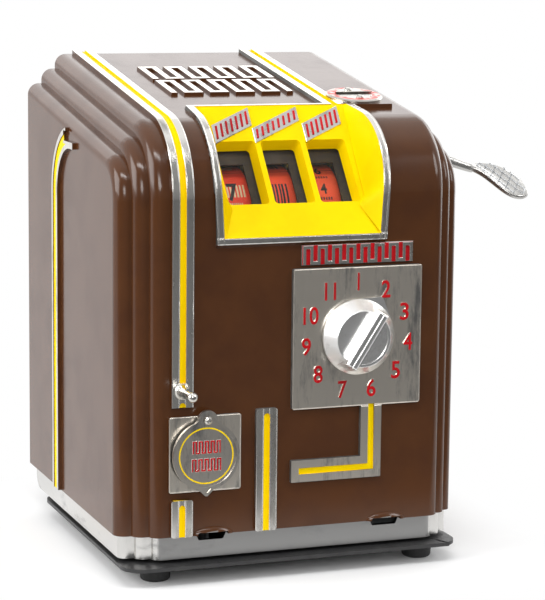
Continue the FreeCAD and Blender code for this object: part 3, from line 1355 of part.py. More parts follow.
def make_shaft_collars():
    """Make the spacer tubes that keep the reels apart on their shaft."""
    bore = "shaft_radius + running"
    spans = [("-(frame_half - sheet)", "-window_pitch - reel_width / 2 - 0.2"),
             ("-window_pitch + star_offset + 2.2", "-reel_width / 2 - 0.2"),
             ("star_offset + 2.2", "window_pitch - reel_width / 2 - 0.2"),
             ("window_pitch + star_offset + 2.2", "frame_half - sheet")]
    made = []
    for index, (left, right) in enumerate(spans, start=1):
        length = "(%s) - (%s)" % (right, left)
        tube = turned("collar_%d" % index, [(bore, "0"), ("hub_radius - 1", "0"),
                                            ("hub_radius - 1", length), (bore, length)])
        made.append(stand(tube, left, "reel_y", "reel_z", TO_RIGHT))
    return group("shaft_collars", *made)


def make_reel(index):
    """Make one reel: a spoked drum, its number strip and its notched stop wheel."""
    middle = "%d * window_pitch" % (index - 2)
    half = "reel_width / 2"
    bore = "shaft_radius + running"
    rim = "reel_radius - strip_thickness"
    inside = "%s - rim_thickness" % rim
    drum = turned("reel_%d_drum" % index, [
        (bore, "-%s" % half), ("hub_radius", "-%s" % half), ("hub_radius", "-web_thickness / 2"),
        (inside, "-web_thickness / 2"), (inside, "-%s" % half), (rim, "-%s" % half),
        (rim, half), (inside, half), (inside, "web_thickness / 2"),
        ("hub_radius", "web_thickness / 2"), ("hub_radius", half), (bore, half)])
    window = sketch_on(drum, "XY_Plane")
    circle(window, "(hub_radius + reel_radius) / 2", "0", "(reel_radius - hub_radius) / 3.4")
    opening = pocket(drum, window, "4 * web_thickness")
    repeat_round(drum, opening, "6")
    stand(drum, middle, "reel_y", "reel_z", TO_RIGHT)
    strip = turned("reel_%d_strip" % index, [(rim, "-%s" % half), ("reel_radius", "-%s" % half),
                                             ("reel_radius", half), (rim, half)])
    stand(strip, middle, "reel_y", "reel_z", TO_RIGHT)
    star = doc.addObject("PartDesign::Body", "reel_%d_star" % index)
    drawn = sketch_on(star, "XY_Plane", "star_offset")
    circle(drawn, "0", "0", "star_radius")
    circle(drawn, "0", "0", bore)
    pad(star, drawn, "2")
    notch = sketch_on(star, "XY_Plane", "star_offset")
    outline(notch, [("star_radius - star_depth", "-1.2"), ("star_radius + 1", "-3.2"),
                    ("star_radius + 1", "3.2"), ("star_radius - star_depth", "1.2")])
    tooth = pocket(star, notch, "8")
    repeat_round(star, tooth, "star_steps")
    hub = turned("reel_%d_hub" % index, [(bore, half), ("hub_radius", half),
                                         ("hub_radius", "star_offset"), (bore, "star_offset")])
    wheel = fuse("reel_%d_stop_wheel" % index, star, hub)
    stand(wheel, middle, "reel_y", "reel_z", TO_RIGHT)
    return drum, strip, wheel


def make_bail():
    """Make the stop bail: a shaft with three fingers and the arm that lifts them."""
    bar = rod("bail_rod", "shaft_radius", "2 * frame_half + 7", "-frame_half - 2", "bail_y",
              "bail_z", TO_RIGHT)
    pieces = [bar]
    for index in (1, 2, 3):
        left = "%d * window_pitch + star_offset + 1 - finger_thickness / 2" % (index - 2)
        hub = rod("finger_hub_%d" % index, "shaft_radius + 3", "finger_thickness", left,
                  "bail_y", "bail_z", TO_RIGHT)
        nose = "reel_y"
        points = [("bail_y", "bail_z + finger_depth / 2"),
                  ("bail_y", "bail_z - finger_depth / 2"),
                  ("%s + 3" % nose, "bail_z - finger_depth / 2"),
                  ("%s + 1" % nose, "finger_nose"), ("%s - 1" % nose, "finger_nose"),
                  ("%s - 3" % nose, "bail_z - finger_depth / 2"),
                  ("%s - 4" % nose, "bail_z + finger_depth / 2 - 1.5"),
                  ("%s - 2" % nose, "bail_z + finger_depth / 2")]
        pieces += [hub, slice_x("finger_%d" % index, points, left,
                                "%s + finger_thickness" % left)]
    left = "frame_half + 1"
    right = "frame_half + 4"
    under = "bail_z - finger_depth / 2"
    points = [("bail_y", "bail_z + finger_depth / 2"), ("bail_y", under),
              ("lever_y - 3", under), ("lever_y - 3", "bail_z + finger_depth / 2")]
    pieces.append(slice_x("bail_arm", points, left, right))
    pieces.append(rod("bail_arm_hub", "shaft_radius + 3", "3", left, "bail_y", "bail_z",
                      TO_RIGHT))
    return fuse("stop_bail", *pieces)


def make_lever_bracket():
    """Make the bent bracket that carries the lever's pin."""
    ears = []
    face = "frame_half"
    for index, y in enumerate(("lever_y - lever_width / 2 - 0.3 - 1.5",
                               "lever_y + lever_width / 2 + 0.3"), start=1):
        points = [(face, "222"), (face, "236"), ("lever_x - 5.5", "lever_z + 4"),
                  ("lever_x - 4", "lever_z + 6"), ("lever_x + 4", "lever_z + 6"),
                  ("lever_x + 6", "lever_z + 4"), ("lever_x + 6", "lever_z - 6"),
                  ("lever_x - 2", "222")]
        ear = plate("bracket_ear_%d" % index, points, "1.5",
                    holes=[("lever_x", "lever_z", "shaft_radius")])
        ears.append(stand(ear, "0", "%s + 1.5" % y, "0", OUT_FRONT))
    back = box("bracket_back", (face, "%s + 1.5" % face),
               ("lever_y - lever_width / 2 - 1.8", "lever_y + lever_width / 2 + 1.8"),
               ("222", "236"))
    pin = rod("bracket_pin", "shaft_radius", "lever_width + 3.6", "lever_x",
              "lever_y - lever_width / 2 - 1.8", "lever_z", TO_BACK)
    made = fuse("lever_bracket", fuse("bracket_sheet", back, *ears), pin)
    return made


def make_coin_chute():
    """Make the flat sheet chute from the coin slot down to the cash box."""
    outer = box("chute_outer", ("chute_left", "chute_right"),
                ("coin_y - coin_slot_width / 2 - thin_sheet",
                 "coin_y + coin_slot_width / 2 + thin_sheet"),
                ("cash_top", "coin_top - wall - 4"))
    inner = box("chute_inner", ("coin_x - coin_slot_length / 2 - chute_play",
                                "chute_right - thin_sheet"),
                ("coin_y - coin_slot_width / 2", "coin_y + coin_slot_width / 2"),
                ("cash_top - 1", "coin_top"))
    return cut("coin_chute", outer, inner)


def make_cash_box():
    """Make the open sheet cash box on the base plate."""
    left = "frame_half"
    outer = box("cash_outer", (left, "cash_right"), ("cash_front", "cash_back"),
                ("plate_top", "cash_top"))
    inner = box("cash_inner", ("%s + thin_sheet" % left, "cash_right - thin_sheet"),
                ("cash_front + thin_sheet", "cash_back - thin_sheet"),
                ("plate_top + thin_sheet", "cash_top + 1"))
    return cut("cash_box", outer, inner)


def hinge_middles():
    """Give the heights of the middles of the two back door hinges."""
    return ["back_door_z - hinge_spread / 2", "back_door_z + hinge_spread / 2"]


def make_back_door():
    """Make the sheet door in the back with its lock hole."""
    half = "back_door_width / 2"
    door = plate("back_door", rectangle("-%s" % half, half, "back_door_bottom",
                                        "back_door_top"), "back_door_sheet",
                 holes=[("%s - lock_inset" % half, "back_door_z", "lock_radius")])
    return stand(door, "0", "case_back", "0", OUT_FRONT)


def make_door_hinges():
    """Make both back door hinges: the case's leaves, the door's leaves and the pins."""
    fixed = []
    moving = []
    pins = []
    third = "hinge_length / 3"
    for index, middle in enumerate(hinge_middles(), start=1):
        low = "%s - hinge_length / 2" % middle
        bore = "1.2 + running"
        for kind, pieces, spans in (("case", fixed, (("0", third), ("2 * %s" % third,
                                                                   "hinge_length"))),
                                    ("door", moving, (("%s + 0.2" % third,
                                                       "2 * %s - 0.2" % third),))):
            knuckles = []
            for part, (start, end) in enumerate(spans, start=1):
                tube = turned("%s_knuckle_%d_%d" % (kind, index, part),
                              [(bore, start), ("hinge_radius", start), ("hinge_radius", end),
                               (bore, end)])
                knuckles.append(stand(tube, "hinge_x", "hinge_y", low))
                reach = ("hinge_x - hinge_leaf", "hinge_x - 1.5") if kind == "case" else \
                    ("hinge_x + 1.5", "hinge_x + hinge_leaf")
                base = "case_back"
                knuckles.append(box("%s_leaf_%d_%d" % (kind, index, part), reach,
                                    (base, "%s + 1.4" % base),
                                    ("%s + %s" % (low, start), "%s + %s" % (low, end))))
            bore_cut = rod("%s_hinge_bore_%d" % (kind, index), bore, "hinge_length + 2",
                           "hinge_x", "hinge_y", "%s - 1" % low)
            pieces.append(cut("%s_hinge_%d" % (kind, index),
                              fuse("%s_hinge_solid_%d" % (kind, index), *knuckles), bore_cut))
        pins.append(rod("hinge_pin_%d" % index, "1.2", "hinge_length + 2", "hinge_x", "hinge_y",
                        "%s - 1" % low))
    return (group("hinge_case_leaves", *fixed), group("hinge_door_leaves", *moving),
            group("hinge_pins", *pins))


def make_lock():
    """Make the door lock's barrel and, apart, its turning plug with the cam."""
    x = "back_door_width / 2 - lock_inset"
    plug_radius = "lock_radius - 3"
    depth = "wall + 0.6"
    tube = turned("lock_tube", [
        ("%s + running" % plug_radius, "-(%s)" % depth), ("lock_radius", "-(%s)" % depth),
        ("lock_radius", "0"), ("lock_radius + 1.8", "0"), ("lock_radius + 1.4", "1.6"),
        ("%s + running" % plug_radius, "1.6")])
    nut = turned("lock_nut", [("lock_radius", "-back_door_sheet - 2.2"),
                              ("lock_radius + 3", "-back_door_sheet - 2.2"),
                              ("lock_radius + 3", "-back_door_sheet"),
                              ("lock_radius", "-back_door_sheet")])
    barrel = stand(fuse("lock_barrel", tube, nut), x, "case_back", "back_door_z", TO_BACK)
    plug = rod("lock_plug_rod", plug_radius, "%s + 2 + 0.2 + 1.4" % depth, "0", "0",
               "-(%s) - 2.2" % depth)
    key = box("lock_key_way", ("-0.8", "0.8"), ("-3", "3"), ("-2", "3"))
    cam = plate("lock_cam", [("-4", "5"), ("-4", "-26"), ("4", "-26"), ("4", "5")], "2", "2")
    stand(cam, "0", "0", "-(%s) - 2.2" % depth)
    turning = cut("lock_plug", fuse("lock_plug_solid", plug, cam), key)
    return barrel, stand(turning, x, "case_back", "back_door_z", TO_BACK)


def make_lever():
    """Make the lever: hub, flat arm and the wide dished grip, as smooth lofts."""
    hub = rod("lever_hub_disc", "lever_hub", "lever_width", "lever_x",
              "lever_y - lever_width / 2", "lever_z", TO_BACK)
    tail = slice_x("lever_tail", rectangle("lever_y - 1.5", "lever_y + 1.5",
                                           "lever_z - lever_tail / 2",
                                           "lever_z + lever_tail / 2"),
                   "frame_half + 1.6", "lever_x")
    slim = "lever_width - 1"
    arm = loft_of("lever_arm", (
        ("lever_x + 4", "lever_y", "lever_z + 0.5", slim, "lever_thickness + 1", "0"),
        ("half_width - 28", "lever_y", "lever_z + 4", slim, "lever_thickness", "0"),
        ("half_width - 10", "lever_y", "lever_z + 5.5", slim, "lever_thickness", "0"),
        ("half_width + 7", "lever_y", "lever_z + 4.6", slim, "lever_thickness", "0"),
        ("half_width + 24", "lever_y", "lever_z + 0.2", slim, "lever_thickness - 1", "0"),
        ("half_width + 37", "lever_y", "lever_z - 3.6", slim, "lever_thickness - 2", "6")))
    grip = loft_of("lever_grip", (
        ("half_width + 33", "lever_y", "lever_z - 2.2", "lever_width - 1", "4.2", "4"),
        ("half_width + 41", "lever_y - 1.2", "lever_z - 4.8", "lever_width + 3", "4", "14"),
        ("half_width + 49", "lever_y - 5", "lever_z - 8.5", "25", "3.6", "27"),
        ("half_width + 57", "lever_y - 8.5", "lever_z - 12.2", "31", "3.6", "33"),
        ("half_width + 65", "lever_y - 10.6", "lever_z - 14.8", "29", "3.6", "33"),
        ("half_width + 72", "lever_y - 11.6", "lever_z - 16.6", "16", "3.4", "31")))
    solid = fuse("lever_solid", hub, tail, arm, grip)
    bore = rod("lever_bore", "shaft_radius + running", "60", "lever_x",
               "lever_y - lever_width", "lever_z", TO_BACK)
    return cut("lever_handle", solid, bore)


def loft_of(name, stations):
    """Make a smooth bar through upright rounded sections.

    Each station gives the middle (x, y, z), the width, the thickness and the bank.
    """
    sections = []
    for station in stations:
        x, y, z, width, thickness, bank = [number(term) for term in station]
        corner = thickness * 0.42
        across = width / 2 - corner
        upward = thickness / 2 - corner
        edges = []
        for turn_number, (sy, sz) in enumerate(((1, 1), (-1, 1), (-1, -1), (1, -1))):
            middle = Vector(0, sy * across, sz * upward)
            start = turn_number * 90.0
            edges.append((middle, start))
        outline_edges = []
        for turn_number, (middle, start) in enumerate(edges):
            def point(angle, centre=middle):
                return centre + Vector(0, math.cos(math.radians(angle)),
                                       math.sin(math.radians(angle))) * corner
            outline_edges.append(Part.Arc(point(start), point(start + 45),
                                          point(start + 90)).toShape())
            after, next_start = edges[(turn_number + 1) % 4]
            outline_edges.append(Part.makeLine(point(start + 90), point(next_start, after)))
        section = Part.Wire(outline_edges)
        section.rotate(Vector(0, 0, 0), Vector(1, 0, 0), bank)
        section.translate(Vector(x, y, z))
        sections.append(section)
    made = doc.addObject("Part::Feature", name)
    made.Shape = Part.makeLoft(sections, True, False)
    return made


def make_all():
    """Make every sub-part and give them in order."""
    feet, foot_screws = make_feet()
    barrel, plug = make_lock()
    case_leaves, door_leaves, pins = make_door_hinges()
    made = [make_case_shell(), make_base_casting(), make_base_plate(), feet, foot_screws,
            make_base_screws(), make_underside_cap(), make_glass(), make_mask(),
            make_mask_screws(), make_coin_plate(), make_coin_screws(), make_selector_bushing(),
            make_knob(), make_selector_shaft(), make_detent_wheel(), make_gum_door(),
            make_gum_door_pin(), make_gum_cup(), make_gum_hopper(), make_plunger_guide(),
            make_plunger(), make_plunger_bracket(), make_plunger_spring(),
            make_frame_plate("left"), make_frame_plate("right"), make_spacers(),
            make_frame_screws(), make_reel_shaft(), make_shaft_collars()]
    for index in (1, 2, 3):
        made.extend(make_reel(index))
    made += [make_bail(), make_lever_bracket(), make_lever(), make_coin_chute(),
             make_cash_box(), make_back_door(), case_leaves, door_leaves, pins, barrel, plug]
    return made


def main():
    """Build the model, check every object and write one file for each sub-part."""
    nodes = make_all()
    doc.recompute()
    for thing in doc.Objects:
        if {"Invalid", "Error"} & set(thing.State):
            raise RuntimeError("%s failed: %s" % (thing.Name, thing.getStatusString()))
    for node in nodes:
        if node.Shape.isNull() or not node.Shape.isValid():
            raise RuntimeError("%s has no sound shape" % node.Label)
    os.makedirs("parts", exist_ok=True)
    for node in nodes:
        node.Shape.exportStep("parts/%s.step" % node.Label)
    print("%d sub-parts" % len(nodes))


main()
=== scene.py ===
"""Looks of the counter top trade stimulator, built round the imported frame.

Lengths are in metres and the axes are those of the frame: x to the right, y to the back, z up.
Sizes named in millimetres are multiplied by MM where they are used.
"""
from __future__ import annotations

import logging
import math
from dataclasses import dataclass
from enum import Enum
from typing import Callable, Sequence

import bmesh
import bpy
from bpy.types import Material, Mesh, NodeSocket, Object
from mathutils import Matrix, Vector
from mathutils.bvhtree import BVHTree

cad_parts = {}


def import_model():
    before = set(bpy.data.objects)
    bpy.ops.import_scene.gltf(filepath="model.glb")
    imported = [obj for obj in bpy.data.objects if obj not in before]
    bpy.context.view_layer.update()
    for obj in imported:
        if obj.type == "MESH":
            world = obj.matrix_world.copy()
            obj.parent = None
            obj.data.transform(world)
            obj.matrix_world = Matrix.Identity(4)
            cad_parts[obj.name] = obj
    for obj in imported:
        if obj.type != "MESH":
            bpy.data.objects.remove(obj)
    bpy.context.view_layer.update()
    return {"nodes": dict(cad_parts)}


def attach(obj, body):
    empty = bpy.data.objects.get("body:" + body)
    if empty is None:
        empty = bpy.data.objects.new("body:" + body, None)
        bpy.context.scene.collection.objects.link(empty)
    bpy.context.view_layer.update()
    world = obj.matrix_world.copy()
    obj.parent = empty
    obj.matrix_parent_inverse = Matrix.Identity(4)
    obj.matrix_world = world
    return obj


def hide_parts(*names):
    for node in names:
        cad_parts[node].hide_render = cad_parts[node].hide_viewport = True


log = logging.getLogger("trade_stimulator")
MM = 0.001
Colour = tuple[float, float, float]
Flat = tuple[float, float]


def colour_of(red: int, green: int, blue: int) -> Colour:
    """Turn display values from 0 to 255 into linear ones.

    Args:
        red: Red as a screen shows it.
        green: Green as a screen shows it.
        blue: Blue as a screen shows it.

    Returns:
        The linear colour.
    """
    def linear(value: float) -> float:
        """Undo the display curve for one value."""
        return value / 12.92 if value <= 0.04045 else ((value + 0.055) / 1.055) ** 2.4
    return linear(red / 255), linear(green / 255), linear(blue / 255)


class Edges(Enum):
    """Which edges of the machine the buffing has rounded, and are painted bright there, partly as
    wear and partly as a painted highlight.
    """

    NONE = "none"
    STRIPS = "strips and window frame"
    PADS = "selector pad and gum plate"


def operator(operation: str, flipped: bool = False) -> Callable[..., "Term"]:
    """Give a method that adds one Math node.

    Args:
        operation: The node's operation.
        flipped: Whether the method's own term is the second value.

    Returns:
        The method, which takes one other value or none.
    """
    def method(term: "Term", other: object = None) -> "Term":
        """Add the node."""
        first, second = (other, term) if flipped else (term, other)
        values = {0: first} if second is None else {0: first, 1: second}
        return term.shader.node("ShaderNodeMath", {"operation": operation}, values)
    return method


class Term:
    """A value that changes over a surface: a node socket with arithmetic."""

    def __init__(self, shader: "NodeTree", socket: NodeSocket) -> None:
        """Wrap one output socket of a shader."""
        self.shader = shader
        self.socket = socket

    __add__ = operator("ADD")
    __sub__ = operator("SUBTRACT")
    __rsub__ = operator("SUBTRACT", flipped=True)
    __mul__ = operator("MULTIPLY")
    root = operator("SQRT")
    size = operator("ABSOLUTE")
    fraction = operator("FRACT")
    least = operator("MINIMUM")
    most = operator("MAXIMUM")
    over = operator("GREATER_THAN")

    def ramp(self, low: float, high: float, start: float = 0.0, end: float = 1.0) -> "Term":
        """Spread a span of the value over another span, held at both ends.

        Args:
            low: Value that gives start.
            high: Value that gives end.
            start: Result at and below low.
            end: Result at and above high.

        Returns:
            The spread value.
        """
        return self.shader.node("ShaderNodeMapRange", {"interpolation_type": "SMOOTHSTEP"},
                                {0: self, 1: low, 2: high, 3: start, 4: end})


class NodeTree:
    """A node tree that is emptied and then built up with terms."""

    def __init__(self, tree: bpy.types.NodeTree) -> None:
        """Take over a tree and clear it."""
        self.tree = tree
        self.tree.nodes.clear()

    def node(self, kind: str, settings: dict[str, object], values: dict[object, object],
             output: object = 0) -> Term | None:
        """Add a node.

        Args:
            kind: Blender's name of the node's type.
            settings: Its own settings, set first; "stops" fills a colour ramp.
            values: Values or terms for its inputs, by name or place.
            output: Name or place of the output that is wanted, if any.

        Returns:
            The wanted output.
        """
        made = self.tree.nodes.new(kind)
        for key, value in settings.items():
            if key == "stops":
                self._fill_ramp(made, value)
            else:
                setattr(made, key, value)
        for key, value in values.items():
            if isinstance(value, Term):
                self.tree.links.new(value.socket, made.inputs[key])
            else:
                made.inputs[key].default_value = value
        return Term(self, made.outputs[output]) if output is not None else None

    @staticmethod
    def _fill_ramp(made: bpy.types.Node, stops: object) -> None:
        """Set a colour ramp's stops from (place, colour) pairs."""
        elements = made.color_ramp.elements
        while len(elements) < len(stops):
            elements.new(0.5)
        for element, (place, colour) in zip(elements, stops):
            element.position = place
            element.color = (*colour, 1.0)


class Shader(NodeTree):
    """One material's node tree with the few calls that the finishes use."""

    def __init__(self, name: str) -> None:
        """Start an empty material with its shader and output."""
        self.material = bpy.data.materials.new(name)
        self.material.use_nodes = True
        super().__init__(self.material.node_tree)
        self.surface = self.tree.nodes.new("ShaderNodeBsdfPrincipled")
        self.output = self.tree.nodes.new("ShaderNodeOutputMaterial")
        self.tree.links.new(self.surface.outputs[0], self.output.inputs["Surface"])

    def place(self) -> Term:
        """Give the surface's own coordinates."""
        return self.node("ShaderNodeTexCoord", {}, {}, "Object")

    def axis(self, index: int) -> Term:
        """Give one object coordinate, in millimetres."""
        whole = self.place()
        return self.node("ShaderNodeSeparateXYZ", {}, {0: whole}, index) * (1.0 / MM)

    def stretched(self, scale: tuple[float, float, float]) -> Term:
        """Give object coordinates scaled along each axis."""
        return self.node("ShaderNodeVectorMath", {"operation": "MULTIPLY"},
                         {0: self.place(), 1: scale})

    def noise(self, per_metre: float, detail: float = 3.0, rough: float = 0.55,
              along: Term | None = None) -> Term:
        """Give soft noise from 0 to 1."""
        where = along if along is not None else self.place()
        return self.node("ShaderNodeTexNoise", {"noise_dimensions": "3D"},
                         {"Vector": where, "Scale": per_metre, "Detail": detail,
                          "Roughness": rough}, "Fac")

    def cells(self, per_metre: float) -> Term:
        """Give the distance to scattered points."""
        return self.node("ShaderNodeTexVoronoi", {"feature": "F1"},
                         {"Vector": self.place(), "Scale": per_metre}, "Distance")

    def blend(self, share: Term, first: object, second: object) -> Term:
        """Mix two colours by a share from 0 to 1."""
        values = {0: share}
        for place, item in ((6, first), (7, second)):
            values[place] = item if isinstance(item, Term) else (*item, 1.0)
        return self.node("ShaderNodeMix", {"data_type": "RGBA"}, values, 2)

    def set(self, **values: object) -> None:
        """Set the shader's sockets; an underscore stands for a space."""
        for key, value in values.items():
            socket = self.surface.inputs[key.replace("_", " ")]
            if isinstance(value, Term):
                self.tree.links.new(value.socket, socket)
            elif socket.type == "RGBA":
                socket.default_value = (*value, 1.0)
            else:
                socket.default_value = value

    def glow(self, share: Term) -> None:
        """Mix plain white light into the surface by a share from 0 to 1."""
        mixed = self.node("ShaderNodeMixShader", {}, {
            0: share, 1: Term(self, self.surface.outputs[0]),
            2: self.node("ShaderNodeEmission", {}, {})})
        self.tree.links.new(mixed.socket, self.output.inputs["Surface"])

    def bump(self, height: Term, strength: float, distance_mm: float) -> None:
        """Feed a height in 0 to 1 to the surface's normal."""
        normal = self.node("ShaderNodeBump", {}, {"Strength": strength,
                                                  "Distance": distance_mm * MM,
                                                  "Height": height}, "Normal")
        self.set(Normal=normal)


@dataclass(frozen=True)
class Finish:
    """A look that becomes a material."""

    name: str

    def coat(self, shader: Shader) -> None:
        """Set up the shader; each kind of finish does this in its own way."""
        raise NotImplementedError

    def make(self) -> Material:
        """Build the material.

        Returns:
            The finished material.
        """
        shader = Shader(self.name)
        self.coat(shader)
        return shader.material


@dataclass(frozen=True)
class Enamel(Finish):
    """Baked enamel on a sand casting: even colour, orange peel and a few pits."""

    colour: Colour
    shade: Colour
    rough: float = 0.13
    gloss: float = 0.42
    peel: float = 0.22

    def coat(self, shader: Shader) -> None:
        """Set up the shader."""
        cloud = shader.noise(38.0, 4.0)
        fine = shader.noise(900.0, 2.0)
        specks = shader.cells(150.0).ramp(0.02, 0.05, 1.0, 0.0)
        grain = shader.noise(260.0, 3.0)
        shader.set(Base_Color=shader.blend(cloud.ramp(0.35, 0.75), self.colour, self.shade),
                   Roughness=cloud.ramp(0.3, 0.8, self.rough, self.rough + 0.1),
                   Specular_IOR_Level=self.gloss)
        shader.bump(grain * 0.7 + fine * 0.2 - specks * 0.6, self.peel, 0.16)


STRIP_MIDDLES = (-77.0, -22.6, 44.7)
STRIP_REACHES = (2.0, 6.9)
SHORT_STRIPS_TOP = 130.0
RIM_HALVES = (51.0, 54.6)
RIM_FLARE = 0.095
SILL_LEVELS = (212.8, 208.9)
PAD_BOXES = ((-6.4, 79.1, 105.1, 192.5), (-85.6, -39.4, 58.2, 105.2))
BAND_FRONT = -90.6


@dataclass(frozen=True)
class Polished(Finish):
    """Buffed cast aluminium with tarnish, fine scratches and edges rounded by the buffing, cleared
    of tarnish partly as wear and partly as painted highlight; a front may be darkened as painted
    shade.
    """

    bright: Colour
    stain: Colour
    stain_share: float = 0.5
    rough: float = 0.16
    worn: float = 0.34
    stretch: tuple[float, float, float] = (1.0, 1.0, 1.0)
    scale: float = 60.0
    edges: Edges = Edges.NONE
    # Share of the stain colour painted over the front face as painted shade.
    dull_front: float = 0.0

    @staticmethod
    def strip_edges(shader: Shader) -> Term:
        """Give the distance to the edges of the trim strips and the window frame."""
        across, up = shader.axis(0), shader.axis(2)
        near = None
        for middle in STRIP_MIDDLES:
            beside = (across - middle).size()
            if middle > STRIP_MIDDLES[0]:
                beside = beside + up.ramp(SHORT_STRIPS_TOP, SHORT_STRIPS_TOP + 1.0, 0.0, 20.0)
            for reach in STRIP_REACHES:
                place = (beside - reach).size()
                near = place if near is None else near.least(place)
        out = (up - 214.0) * math.sin(FACET_LEAN) \
            - (shader.axis(1) + 97.0) * math.cos(FACET_LEAN)
        for half in RIM_HALVES:
            near = near.least((across.size() - half - out * RIM_FLARE).size()
                              + up.ramp(206.0, 205.0, 0.0, 9.0))
        for level in SILL_LEVELS:
            near = near.least((up - level).size() + across.size().ramp(56.0, 57.0, 0.0, 9.0))
        return near

    @staticmethod
    def pad_edges(shader: Shader) -> Term:
        """Give the distance to the edges of the selector's pad and the gum plate."""
        across, up = shader.axis(0), shader.axis(2)
        made = []
        for left, right, low, high in PAD_BOXES:
            wide = (across - (left + right) / 2).size() - (right - left) / 2
            tall = (up - (low + high) / 2).size() - (high - low) / 2
            made.append(wide.most(tall).size())
        return made[0].least(made[1])

    def rounding(self, shader: Shader) -> Term:
        """Give 0 on the edges that the buffing has rounded, 1 away from them: it raises the bump
        there and clears tarnish, partly as wear and partly as a painted highlight.
        """
        near = self.pad_edges(shader) if self.edges is Edges.PADS else self.strip_edges(shader)
        return near.ramp(0.0, 0.75)

    def coat(self, shader: Shader) -> None:
        """Set up the shader."""
        along = shader.stretched(self.stretch)
        clouds = shader.noise(self.scale, 5.0, 0.62, along)
        tarnish_and_shade = clouds.ramp(0.62 - 0.3 * self.stain_share, 0.86 - 0.3 * self.stain_share)
        lines = shader.noise(1400.0, 2.0, 0.6, shader.stretched((1.0, 1.0, 0.06)))
        pits = shader.cells(210.0).ramp(0.02, 0.06, 1.0, 0.0)
        height = lines * 0.0138 + clouds * 0.0275 - pits * 0.0275
        if self.edges is not Edges.NONE:
            rounding = self.rounding(shader)
            # Clearing the tarnish on these edges is partly wear and partly a painted highlight.
            tarnish_and_shade = tarnish_and_shade * rounding
            height = height + rounding
        # The front face is painted darker: painted shade, not tarnish.
        if self.dull_front:
            front = shader.axis(1).ramp(BAND_FRONT, BAND_FRONT + 1.0, 1.0, 0.0)
            tarnish_and_shade = tarnish_and_shade + front * self.dull_front * (1.0 - tarnish_and_shade)
        shader.set(Base_Color=shader.blend(tarnish_and_shade, self.bright, self.stain), Metallic=1.0,
                   Roughness=(tarnish_and_shade * (self.worn - self.rough) + self.rough + lines * 0.08))
        shader.bump(height, 1.0, 0.4)


@dataclass(frozen=True)
class SheetMetal(Finish):
    """Plain or plated sheet and turned metal."""

    colour: Colour
    shade: Colour
    rough: float = 0.3
    flakes: float = 90.0

    def coat(self, shader: Shader) -> None:
        """Set up the shader."""
        flakes = shader.cells(self.flakes)
        clouds = shader.noise(50.0, 4.0)
        fine = shader.noise(1500.0, 2.0)
        shader.set(Base_Color=shader.blend(clouds.ramp(0.35, 0.7), self.colour, self.shade),
                   Metallic=1.0,
                   Roughness=flakes.ramp(0.1, 0.8, self.rough, self.rough + 0.14))
        shader.bump(fine * 0.4 + flakes * 0.3, 0.15, 0.06)


@dataclass(frozen=True)
class Matt(Finish):
    """Unpolished coats and rubber: black japan, rubber, painted lettering."""

    colour: Colour
    shade: Colour
    rough: float = 0.55
    grain: float = 500.0
    depth: float = 0.2

    def coat(self, shader: Shader) -> None:
        """Set up the shader."""
        clouds = shader.noise(70.0, 4.0)
        fine = shader.noise(self.grain, 3.0)
        shader.set(Base_Color=shader.blend(clouds.ramp(0.3, 0.75), self.colour, self.shade),
                   Roughness=fine.ramp(0.2, 0.8, self.rough, self.rough + 0.15))
        shader.bump(fine, self.depth, 0.12)


@dataclass(frozen=True)
class Glass(Finish):
    """Old window glass: mostly clear, with a faint film."""

    film: float = 0.03

    def coat(self, shader: Shader) -> None:
        """Set up the shader."""
        haze = shader.noise(45.0, 4.0)
        shader.set(Base_Color=(0.2, 0.21, 0.2), Roughness=0.04,
                   Alpha=haze.ramp(0.4, 0.9, self.film, self.film * 1.6))


@dataclass(frozen=True)
class ReelPaper(Finish):
    """Printed paper round a reel, ruled into even fields."""

    ground: Colour
    rule: Colour
    axis_y: float
    axis_z: float
    fields: int
    first: float

    def coat(self, shader: Shader) -> None:
        """Set up the shader."""
        forward = shader.axis(1) - self.axis_y
        upward = shader.axis(2) - self.axis_z
        turn = shader.node("ShaderNodeMath", {"operation": "ARCTAN2"}, {0: upward, 1: forward})
        start = math.radians(self.first)
        step = ((turn - start) * (self.fields / (2 * math.pi)) + self.fields).fraction()
        line = (step - 0.5).size().over(0.5 - 0.0012 * self.fields)
        tone = shader.noise(60.0, 4.0)
        paper = shader.blend(tone.ramp(0.3, 0.8, 0.0, 0.18), self.ground, self.rule)
        shader.set(Base_Color=shader.blend(line, paper, self.rule), Roughness=0.5)
        shader.bump(shader.noise(900.0, 2.0), 0.1, 0.05)


@dataclass(frozen=True)
class RingPlate(Finish):
    """Cast plate with a painted ring round its middle, worn at its edges."""

    metal: Colour
    paint: Colour
    centre_x: float
    centre_y: float
    inner: float
    outer: float

    def coat(self, shader: Shader) -> None:
        """Set up the shader."""
        across = shader.axis(0) - self.centre_x
        away = (shader.axis(1) - self.centre_y) * 1.013
        reach = (across * across + away * away).root()
        worn = shader.noise(420.0, 4.0) * 1.2
        ring = (reach + worn).ramp(self.inner, self.inner + 0.3) * \
            (reach + worn).ramp(self.outer, self.outer + 0.3, 1.0, 0.0)
        bare = shader.noise(190.0, 5.0, 0.65).ramp(0.44, 0.56)
        paint = ring * (1.0 - bare * 0.85)
        shader.set(Base_Color=shader.blend(paint, self.metal, self.paint),
                   Metallic=1.0 - paint, Roughness=paint * 0.15 + 0.25)
        shader.bump(bare, 0.2, 0.08)


